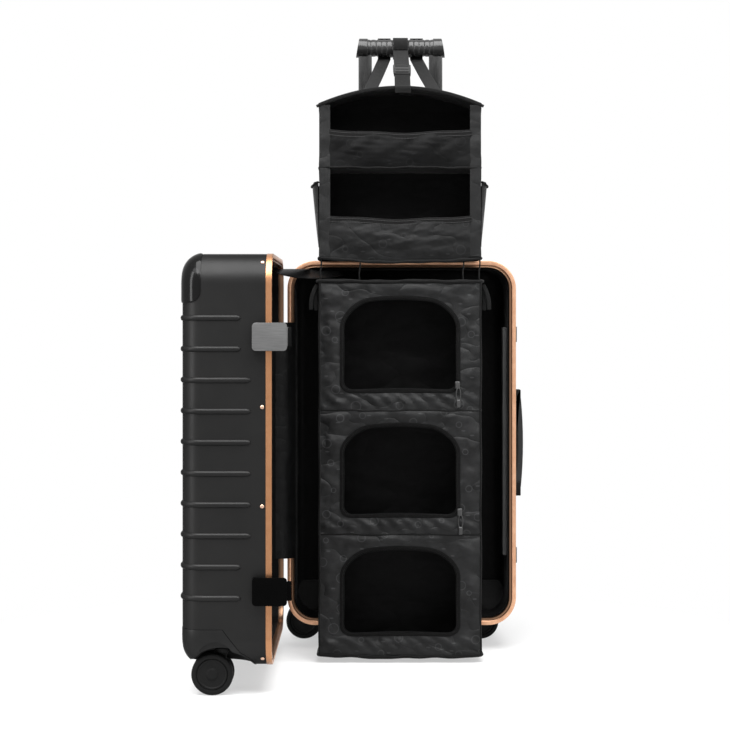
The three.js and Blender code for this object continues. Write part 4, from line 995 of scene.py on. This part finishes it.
def plan_path():
    """The walls' plan from the front left corner, round the back, to the front right corner."""
    x, y = -WIDE + PLAN_RADIUS, BACK - PLAN_RADIUS
    angle = np.linspace(math.pi, QUARTER, 6)
    side = [(-WIDE, at) for at in np.linspace(FRONT + 1, y, 13)[:-1]]
    corner = [(x + PLAN_RADIUS * np.cos(a), y + PLAN_RADIUS * np.sin(a)) for a in angle]
    back = [(at, BACK) for at in np.linspace(x, -x, 26)[1:-1]]
    first = np.array(side + corner)
    return np.concatenate([first, back, first[::-1] * [-1, 1]])


def add_walls(index, body, fold):
    """Side and back walls in one creased cloth: the plan carried down, drawn in on the way."""
    x, y = plan_path().T
    _, top, bottom = fold
    v = np.linspace(0, 1, 52)[:, None]
    z = top - (top - bottom) * v
    free = np.sin(math.pi * v) ** 0.7
    points, seed = xyz(x, y, z), 10 + index
    crease = ripple(points, seed, (150, 90, 70), 1.5) + ripple(points, seed + 60, (40, 40, 26), 0.5)
    draw = crease * free + 1.5 * free**2
    side = np.clip((np.abs(x) - (WIDE - 5)) / 5, 0, 1)
    back = np.clip((y - (BACK - 5)) / 5, 0, 1)
    walls = xyz(x - np.sign(x) * draw * side, y - draw * back, z)
    hang_sheet(f"walls_{index}", walls, PLAIN, body, "hung", [ABOVE[index]], fold=fold,
               nodes=[f"organizer_sleeve_{index}"])


def add_strips(index, body, fold):
    """The cloth strips up both front edges of an open tier, curled back along their inner edge."""
    _, top, bottom = fold
    across, down = np.meshgrid(np.linspace(0, 1, 9), np.linspace(0, 1, 40))
    strips = []
    for _, sign in SIDES:
        x = sign * (WIDE - STRIP_WIDTH * across)
        crease = ripple(xyz(x, 0, down * 90), 20 + index + sign, (80, 80, 34), 0.9)
        y = FRONT - 0.9 + 1.6 * across**2 + crease
        strips.append(slab(xyz(x, y, top + (bottom - top) * down), 1.6))
    hang(f"strips_{index}", joined(strips), STRIP, body, fold)


def add_upper_tier(index, low, high, hem, cloth, sag, body, joint):
    """An open tier: side and back walls, two edge strips, and a front pocket whose hem sags."""
    top, bottom = LEVELS[high] - 0.2, LEVELS[low] + 0.2
    fold = joint, top, bottom
    add_walls(index, body, fold)
    add_strips(index, body, fold)
    across, down = np.meshgrid(np.linspace(-1, 1, 80), np.linspace(0, 1, 40))
    slack = 1 - across**4
    hem_line = hem - 5.0 * (1 - across**2) - 0.8 * np.sin(across * 7 + index)
    x = across * (WIDE - STRIP_WIDTH + 2)
    z = hem_line + (bottom - hem_line) * down - sag * down * slack
    place = xyz(x, 0, z)
    crease = ripple(place, 40 + index, (70, 80, 44), 2.4)
    crease += ripple(place, 140 + index, (26, 40, 17), 0.7)
    free = slack * np.sin(math.pi * np.clip(0.12 + 0.88 * down, 0, 1))
    front = xyz(x, FRONT + 0.6 - 3.2 * free - crease * free, z)
    hang_sheet(f"pocket_{index}", front, cloth, body, "hung", [f"organizer_walls_{index}"],
               flat=True, fold=fold)
    band = sweep(front[0] + [0, -0.2, -3.4], flat_band(1.9, 9.0, 0.8), UP)
    hang(f"hem_{index}", band, HEM, body, fold)
    rows = [sweep(front[0] + [0, -1.15, drop], disc(0.4, 6), UP) for drop in (-1.6, -6.4)]
    hang(f"stitches_{index}", joined(rows), STITCH, body, fold)
    return fold


def tier_outline(low, high, half, top_radius, bottom_radius):
    """A closed outline in the front plane with one radius above and another below."""
    radii = [top_radius, top_radius, bottom_radius, bottom_radius]
    flat = rounded_rect(half, (high - low) / 2, radii, 12, 36)
    return xyz(flat[:, 0], 0, flat[:, 1] + (low + high) / 2)


OPENING_HALF, OPENING_SHOULDER, OPENING_FOOT = 82.5, 40, 14
ARCH_RISE, ARCH_REACH = 6, 60


def front_panel(low, high, opening, seed):
    """Front of a lower tier: creased cloth between the zip opening's outline and the tier's edge.

    The opening's upper edge is arched by its rise, less the drop that is asked.
    """
    foot, head, drop = opening
    inner = tier_outline(foot, head, OPENING_HALF, OPENING_SHOULDER, OPENING_FOOT)
    near_top = np.clip((inner[:, 2] - head) / OPENING_SHOULDER + 1, 0, 1)
    inner[:, 2] += near_top * (ARCH_RISE * (1 - (inner[:, 0] / ARCH_REACH) ** 2) - drop)
    outer = tier_outline(low, high, WIDE - 0.3, 3, 3)
    share = np.linspace(0, 1, 30)[:, None, None]
    points = inner * (1 - share) + outer * share
    share, x, z = share[..., 0], points[..., 0], points[..., 2]
    free = np.sin(math.pi * np.clip(share, 0.04, 1)) ** 0.55
    crease = ripple(points, seed, (75, 60, 48), 2.6) + ripple(points, seed + 50, (24, 24, 17), 0.8)
    below = np.clip((foot - z) / 6, 0, 1)
    tucks = 1.7 * below * np.sin(x / 3.9 + z / 3.6 + 2.4 * np.sin(x / 31))
    bulge = 1.4 * free * np.sin(math.pi * share)
    points[..., 1] = FRONT - 0.2 - bulge - np.clip(crease + tucks, -2.2, 3.2) * free * 0.75
    return points, inner


def zip_rim(inner):
    """The opening's zip, in closed loops: a bound tape along the edge and a coil of teeth."""
    inward = unit(inner.mean(0) - inner) * [1, 0, 1]
    loops = []
    for reach, stand, section in ((1.6, 0.9, flat_band(4.4, 1.7, 0.8)), (4.6, 0.1, disc(1.15, 8))):
        path = inner + inward * reach
        path[:, 1] = FRONT - stand
        loops.append(sweep(path, section, FACING, closed=True))
    return loops


def zip_pull(x, z):
    """Zip pull: a slider under a cord loop that hangs from it, with a moulded end."""
    slider = block((x - 3.4, x + 3.4), (FRONT - 4.2, FRONT - 0.6), (z - 5, z + 5), 1.2)
    t = np.linspace(0, TURN, 28, endpoint=False)
    loop = xyz(x + 1.2 + 3.0 * np.sin(t), FRONT - 3.4, z - 13 + 9.5 * np.cos(t))
    ring = sweep(loop, disc(0.85, 8), FACING, closed=True)
    tab = block((x - 1.6, x + 4.0), (FRONT - 5.0, FRONT - 2.0), (z - 31, z - 20), 1.2)
    points, faces, _ = joined([slider, ring, tab])
    return points, faces, None


def add_lower_tier(index, low, high, opening, body, joint, pull):
    """A closed tier: walls, a front panel round a zip opening, the zip, corner seams and a pull."""
    top, bottom = LEVELS[high] - 0.2, LEVELS[low] + 0.2
    fold = joint, top, bottom
    add_walls(index, body, fold)
    points, inner = front_panel(bottom, top, opening, 30 + index)
    cloth = slab(points, CLOTH, wrap=True, flat=True)
    panel = hang(f"front_{index}", cloth, PANEL, body, fold)
    tape, teeth = zip_rim(inner)
    hang(f"zip_tape_{index}", tape, TAPE, body, fold)
    hang(f"zip_teeth_{index}", teeth, TEETH, body, fold)
    z = np.linspace(top, bottom, 30)
    seams = [sweep(xyz(sign * (WIDE - 0.5 + 0.5 * np.sin(z / 21 + sign)), FRONT - 0.4, z),
                   disc(1.5, 8), FACING) for _, sign in SIDES]
    hang(f"corner_seams_{index}", joined(seams), BINDING, body, fold)
    if pull:
        hang(f"zip_pull_{index}", zip_pull(*pull), PULL, body, fold)


def seam_roll(z, radius, sag, flare):
    """A piped seam round front and sides: it sags in front and flares out at its corners."""
    flat = rounded_rect(WIDE + 0.4, (BACK - FRONT) / 2 + 0.4, 6, 6, 26)
    x, y = flat[:, 0], flat[:, 1] + (FRONT + BACK) / 2
    share = np.abs(x) / WIDE
    near = np.clip(1 - (y - FRONT) / 40, 0, 1)
    z = z + 0.6 * np.sin(x / 17) + 0.4 * np.sin(x / 6.1) * near - sag * (1 - share**2) * near
    x = x + np.sign(x) * flare * np.clip(share * 8 - 7, 0, 1) * near**2
    thick = radius * (1 + 0.16 * np.sin(x / 9 + y / 13))
    return sweep(xyz(x, y, z), disc(1.0, 10)[None] * thick[:, None, None], UP, closed=True)


PIPING = (1.3, 0, 0, 0)
BOARDS = [
    # level, node, body, piece's label, and its seam's radius, sag, flare and drop
    ("upper_shelf", "organizer_upper_shelf", "upper_shelf", "upper_shelf", PIPING),
    ("floor", "organizer_upper_floor", "waist", "waist", (2.3, 5.4, 0, 2.0)),
    ("lower_top", "organizer_lower_top", "waist", "lower_top", (2.9, 0.5, 2.4, 0)),
    ("middle", "organizer_middle_shelf", "middle_shelf", "middle_shelf", PIPING),
    ("lower", "organizer_lower_shelf", "lower_shelf", "lower_shelf", PIPING),
    ("bottom", "organizer_bottom", "bottom_shelf", "bottom_shelf", (2.7, 2.4, 1.2, 0)),
]
BOARD = 3.6


def add_board(level, node_name, body, label, seam):
    """A padded board across the organizer, with its piped seam."""
    z = LEVELS[level]
    half = BOARD / 2
    form = block((-WIDE + 1.5, WIDE - 1.5), (FRONT + 1.5, BACK - 1), (z - half, z + half), 1.7)
    hang("board_" + label, form, PLAIN, body, nodes=[node_name])
    roll, sag, flare, drop = seam
    hang("seam_" + label, seam_roll(z - drop, roll, sag, flare), BINDING, body)


def arch_z(x):
    """Height of the arched top: a parabola, highest in the middle and 24 mm lower at both sides."""
    return LEVELS["top"] + 25.4 - 24.0 * (np.asarray(x) / WIDE) ** 2


def add_top():
    """The arched top: a roof cloth, a back panel, and a binding along the front and both sides."""
    x = np.linspace(-WIDE, WIDE, 61)
    across, deep = np.meshgrid(x, np.linspace(FRONT - 0.5, BACK + 1, 20))
    crease = ripple(xyz(across, deep, 0), 71, (90, 60, 60), 0.9)
    z = arch_z(across) - 0.6 + crease * (1 - (across / WIDE) ** 4)
    straps = [f"strap_{which}_webbing" for which in ("centre", "left", "right")]
    hang_sheet("roof", xyz(across, deep, z), PLAIN, "handle_inner", "stretched", straps, 1.3,
               nodes=["organizer_top_panel"])
    across, share = np.meshgrid(x, np.linspace(0, 1, 9))
    top = arch_z(across)
    back = xyz(across, BACK + 1.3, top + (LEVELS["top"] - 3.2 - top) * share)
    hang_sheet("arch_back", back, PLAIN, "handle_inner", "stretched", ["organizer_roof"])
    path = xyz(x, FRONT - 1.0, arch_z(x) - 1.5)
    bindings = [sweep(path, rounded_rect(2.6, 1.9, 1.6, 3), FACING)]
    low = float(arch_z(WIDE))
    for _, sign in SIDES:
        run = xyz(sign * WIDE, np.linspace(FRONT - 1, BACK, 16), low - 1.2)
        tip = [(sign * (WIDE - 3), FRONT - 1, low - 0.6),
               (sign * (WIDE + 3.5), FRONT - 2, low - 3.4)]
        bindings += [sweep(run, disc(1.8, 8), UP), sweep(curve(tip, 6), disc(2.0, 8), UP)]
    hang("arch_binding", joined(bindings), BINDING, "handle_inner")


def add_side_pockets(fold):
    """Side pockets: a cloth bowed out from the side wall, furthest at its open hem."""
    u, v = np.meshgrid(np.linspace(-1, 1, 26), np.linspace(0, 1, 22))
    bow = (1 - np.abs(u) ** 3.2) * (1 - v) ** 0.8
    out = WIDE + 0.8 + 8.5 * bow + 0.8 * (1 - v)
    z = 663 - 89 * v - 3.0 * (1 - u**2) * (1 - v) + 2.0 * (u < -0.8) * (1 - v)
    for name, sign in SIDES:
        grid = xyz(sign * out, -52 + 33 * u, z)
        hang_sheet(f"side_pocket_{name}", grid, PLAIN, "upper_shelf", "hung", ["organizer_walls_2"],
                   fold=fold)
        rim = sweep(grid[0] + [sign * 0.4, 0, -1.5], flat_band(1.8, 5.0, 0.7), (sign, 0, 0))
        hang(f"side_hem_{name}", rim, BINDING, "upper_shelf", fold)


TAIL_RUNS = [
    [(0.6, -88, 521), (5.2, -90.5, 512), (8.4, -91, 500), (8.8, -90.5, 487)],
    [(1.8, -87.2, 486), (2.6, -87.2, 497), (2.2, -87.0, 508), (0.9, -86, 519)],
]


def add_cords():
    """The cords between the two units and the webbing tails at the lower unit's upper corners."""
    cords = []
    for share in (-0.98, -0.5, 0.78, 0.98):
        x = share * WIDE
        path = curve([(x, FRONT + 0.7, 561), (x + 0.8, FRONT + 0.3, 550),
                      (x - 0.5, FRONT + 0.4, 538), (x, FRONT + 1.2, 526)], 16)
        cords.append(sweep(path, disc(1.0, 8), FACING))
    hang("link_cords", joined(cords), BINDING, "waist")
    for name, sign in SIDES:
        runs = [[(sign * (WIDE + 2.6 + out), y, z) for out, y, z in run] for run in TAIL_RUNS]
        strips = [sweep(curve(run, 22), flat_band(5.4, 1.2), (0, -1, 0.12)) for run in runs]
        hang(f"tail_{name}", joined(strips), WEBBING, "waist")


for row in BOARDS:
    add_board(*row)
add_upper_tier(1, "upper_shelf", "top", 735, POCKET, 1.2, "handle_inner", "upper_shelf_fold")
fold = add_upper_tier(2, "floor", "upper_shelf", 616, LOWER_POCKET, 7.4, "upper_shelf",
                      "waist_fold")
add_lower_tier(3, "middle", "lower_top", (373, 502, 2.0), "waist", "middle_shelf_fold", (79, 383))
add_lower_tier(4, "lower", "middle", (201, 330, 5.0), "middle_shelf", "lower_shelf_fold", (82, 208))
add_lower_tier(5, "bottom", "lower", (38, 160, 5.0), "lower_shelf", "bottom_shelf_fold", None)
add_top()
add_side_pockets(fold)
add_cords()

# Straps and buckle

LOOP = 12.8 + 1.6
WEB, CENTRE_WIDTH, SIDE_WIDTH = 1.4, 22, 19
SLOPE = 0.42
DOWNHILL = np.array([0, -math.cos(SLOPE), -math.sin(SLOPE)])
BUCKLE_MIDDLE, BUCKLE_REACH = np.array([0, -25.0, 826.0]), 21.4


def loop_path(x, start=1.06, end=-0.88):
    """Round the grip between two angles, in half turns, and a little further out all the way."""
    share = np.linspace(0, 1, 40)
    angle = math.pi * (start - (start - end) * share)
    radius = LOOP + 2.8 * share**2
    return xyz(x, GRIP_Y + radius * np.cos(angle), GRIP_Z + radius * np.sin(angle))


def strap(name, path, width, nodes=()):
    """A flat webbing carried along its path, which faces at right angles to its run and to X."""
    up = unit(np.cross(unit(np.gradient(path, axis=0)), [-1.0, 0, 0]))
    return make(name, sweep(path, flat_band(width, WEB), up), WEBBING, "handle_inner", nodes)


def free_run(name, path, width):
    """A strap's free run, with a mesh of its own."""
    run = strap(name, path, width)
    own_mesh(run)


def add_straps():
    """The centre strap, its run to the buckle, the front strap over the roof, the side straps."""
    centre = loop_path(0)
    strap("strap_centre_webbing", centre, CENTRE_WIDTH, ["strap_centre"])
    run = curve([centre[-1], BUCKLE_MIDDLE - DOWNHILL * BUCKLE_REACH], 14)
    free_run("strap_centre_run", run, CENTRE_WIDTH)
    top = float(arch_z(4.0))
    ends = [(25, 2.6), (9, 1.4), (-1.6, 0.3), (-3.9, -2.2), (-3.6, -8.6)]
    over_roof = [(0, FRONT + back, top + rise) for back, rise in ends]
    front = curve([BUCKLE_MIDDLE + DOWNHILL * BUCKLE_REACH, *over_roof], 40)
    strap("strap_front_webbing", front, CENTRE_WIDTH, ["strap_front"])
    for name, sign in SIDES:
        loop = loop_path(sign * 24, 0.45, -0.36)
        target = np.array([sign * 47, -52, float(arch_z(sign * 47 - OFFSET)) + 0.9])
        middle = (loop[-1] + target) / 2 + [0, 0, -1.2]
        strap(f"strap_{name}_webbing", loop, SIDE_WIDTH, [f"strap_{name}"])
        free_run(f"strap_{name}_run", curve([loop[-1], middle, target], 22), SIDE_WIDTH)


BUCKLE_BARS = [
    # across, along the strap, off its face, edge radius
    ((-12, 12), (-21, -17.6), (-2.6, 2.6), 0.9),
    ((-12, 12), (-13.4, -10.4), (-2.4, 2.8), 0.9),
    ((-12.5, -9.6), (-21, 2), (-2.8, 2.8), 0.9),
    ((9.6, 12.5), (-21, 2), (-2.8, 2.8), 0.9),
    ((-11.6, 11.6), (-9, 3.4), (-3.6, 3.6), 1.6),
    ((-9.2, 9.2), (4.6, 8.0), (-3.0, 3.0), 1.2),
    ((-12.3, -8.2), (3.0, 10.5), (-3.1, 3.1), 1.4),
    ((8.2, 12.3), (3.0, 10.5), (-3.1, 3.1), 1.4),
    ((-11.8, 11.8), (9.0, 13.6), (-3.4, 3.4), 1.4),
    ((-11.8, 11.8), (17.4, 21), (-2.5, 2.5), 0.9),
    ((-11.8, -9.0), (10, 21), (-2.7, 2.7), 0.9),
    ((9.0, 11.8), (10, 21), (-2.7, 2.7), 0.9),
]


def add_buckle():
    """Side-release buckle on the strap's slope: a waisted socket, two prongs, a ladder bar."""
    axes = np.array([[1, 0, 0], DOWNHILL, -np.cross(DOWNHILL, [1, 0, 0])])
    bars = []
    for across, run, rise, radius in BUCKLE_BARS:
        points, faces, _ = block(across, run, rise, radius)
        bars.append((BUCKLE_MIDDLE + points @ axes, faces, None))
    make("strap_release_buckle", joined(bars), BUCKLE, "handle_inner", ["strap_buckle"])


add_straps()
add_buckle()

# The cloth pieces between the halves


def bend_with_lid(obj, start, end):
    """Bakes a cloth's placement into its mesh; the points at the lid and at the base are turned
    into metres and left unused.
    """
    start, end = (((np.array(point) + SHIFT) / MM).tolist() for point in (start, end))
    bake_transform(obj)


def add_flap():
    """The flap: a creased cloth from the lid's inside to the base's, bent round the hinge line."""
    inside = LINING_INSET + SKIN + 0.6
    plan = [(HINGE[0] - 0.5 - inside, -5.3 - inside, 0), (HINGE[0] - 3, -4.8 - inside, 0),
            (-163, -13.5, 0), (-156.5, -8.2, 0), (-151.6, -1, 0), (-151.4, inside, 0)]
    grid = np.broadcast_to(curve(plan, 30), (50, 30, 3)).copy()
    grid[..., 2] = (469 - 336 * np.linspace(0, 1, 50))[:, None]
    free = np.sin(math.pi * np.linspace(0, 1, 30)) ** 0.8
    crease = 0.7 * ripple(grid, 81, (60, 60, 90), 1.2) * free
    grid[..., 0] += crease
    grid[..., 1] -= crease
    flap = make("hinge_cloth_flap", slab(grid, 0.9), STRIP, nodes=["hinge_flap"])
    bend_with_lid(flap, (-173, -14, 300), (-153, 2, 300))


STAY_BACK = [(-180.5, -38, 544), (-152, -38.4, 544), (-134, -35.5, 544), (-131.2, -18, 544),
             (-130.4, 0, 544), (-119, 11, 544), (-83.6, 11.8, 544)]
STAY_FRONT = [(-180.5, -77.8, 541), (-170, -77.4, 536), (-147, -58, 531.4), (-123.6, -36.8, 530.6),
              (-103, -18, 532), (-83.6, 0, 536)]


def add_stay():
    """The stay: a web of cloth across the top corner, narrow at the hinge, slack in front."""
    share = np.linspace(0, 1, 12)[None, :, None]
    grid = curve(STAY_BACK, 40)[:, None] * (1 - share) + curve(STAY_FRONT, 40)[:, None] * share
    stay = make("lid_cloth_stay", slab(grid, 1.2), PLAIN, nodes=["lid_stay"])
    bend_with_lid(stay, (-172, -30, 544), (-150, 4, 544))


add_flap()
add_stay()

# Floor and light

FLOOR_HALF = 9
WORLD_FILL = 0.24
LAMPS = [
    # name, place, target, size, watts
    ("key", (1.3, -2.0, 2.0), (0, 0, 0.4), (1.0, 1.0), 22),
    ("left_strip", (-2.0, -1.1, 0.9), (-0.1, 0, 0.4), (0.4, 2.0), 26),
    ("right_strip", (2.2, -0.6, 1.0), (0, 0, 0.4), (0.5, 2.0), 22),
    ("top", (-0.15, -0.9, 2.3), (-0.1, -0.1, 0.45), (2.4, 2.0), 148),
    ("brow", (-0.7, -0.8, 1.3), (-0.17, -0.2, 0.5), (0.9, 0.3), 4),
]


def shown_ray(tree):
    """1 on the rays that show the background: straight, reflected or passed through."""
    path = node(tree, "LightPath").outputs
    either = {0: path["Is Camera Ray"], 1: path["Is Transmission Ray"]}
    seen = node(tree, "Math", either, operation="MAXIMUM").outputs[0]
    return node(tree, "Math", {0: seen, 1: path["Is Glossy Ray"]}, operation="MAXIMUM").outputs[0]


def add_floor():
    """A white floor that takes a faint shadow near the case and fades into the white background."""
    mesh = bpy.data.meshes.new("floor")
    corners = [(x * FLOOR_HALF, y * FLOOR_HALF, 0) for x, y in ((-1, -1), (1, -1), (1, 1), (-1, 1))]
    mesh.from_pydata(corners, [], [(0, 1, 2, 3)])
    floor = put("floor", mesh)
    material = bpy.data.materials.new("floor_white")
    material.use_nodes = True
    tree = material.node_tree
    tree.nodes.remove(tree.nodes["Principled BSDF"])
    place = node(tree, "TexCoord").outputs["Object"]
    away = node(tree, "VectorMath", {0: place}, operation="LENGTH").outputs["Value"]
    share = node(tree, "MapRange", {0: away, 1: 0.33, 2: 0.66, 3: 0.5, 4: 1.0}).outputs[0]
    matt = node(tree, "BsdfDiffuse", {"Color": (0.8, 0.8, 0.8, 1)}).outputs[0]
    white = node(tree, "Emission", {"Color": (1, 1, 1, 1), "Strength": 1.0}).outputs[0]
    shown = node(tree, "MixShader", {0: share, 1: matt, 2: white}).outputs[0]
    result = node(tree, "MixShader", {0: shown_ray(tree), 1: matt, 2: shown}).outputs[0]
    tree.links.new(result, tree.nodes["Material Output"].inputs[0])
    mesh.materials.append(material)


def add_world():
    """A white background over an even fill of the world's light."""
    world = bpy.data.worlds.new("studio")
    bpy.context.scene.world = world
    world.use_nodes = True
    tree = world.node_tree
    inputs = {0: shown_ray(tree), 1: 0.0, 2: 1.0, 3: WORLD_FILL, 4: 1.0}
    tree.links.new(node(tree, "MapRange", inputs).outputs[0], tree.nodes["Background"].inputs[1])
    tree.nodes["Background"].inputs[0].default_value = (1, 1, 1, 1)


def add_lamp(name, place, target, size, watts):
    """An area lamp that faces its target."""
    data = bpy.data.lights.new(name, "AREA")
    data.shape, data.size, data.size_y, data.energy = "RECTANGLE", size[0], size[1], watts
    lamp = put(name, data)
    lamp.location = place
    x, y, z = np.array(target) - np.array(place)
    lamp.rotation_euler = (math.atan2(math.hypot(x, y), -z), 0, math.atan2(-x, y))


add_floor()
add_world()
for row in LAMPS:
    add_lamp(*row)
bpy.context.scene.view_settings.view_transform = "Standard"
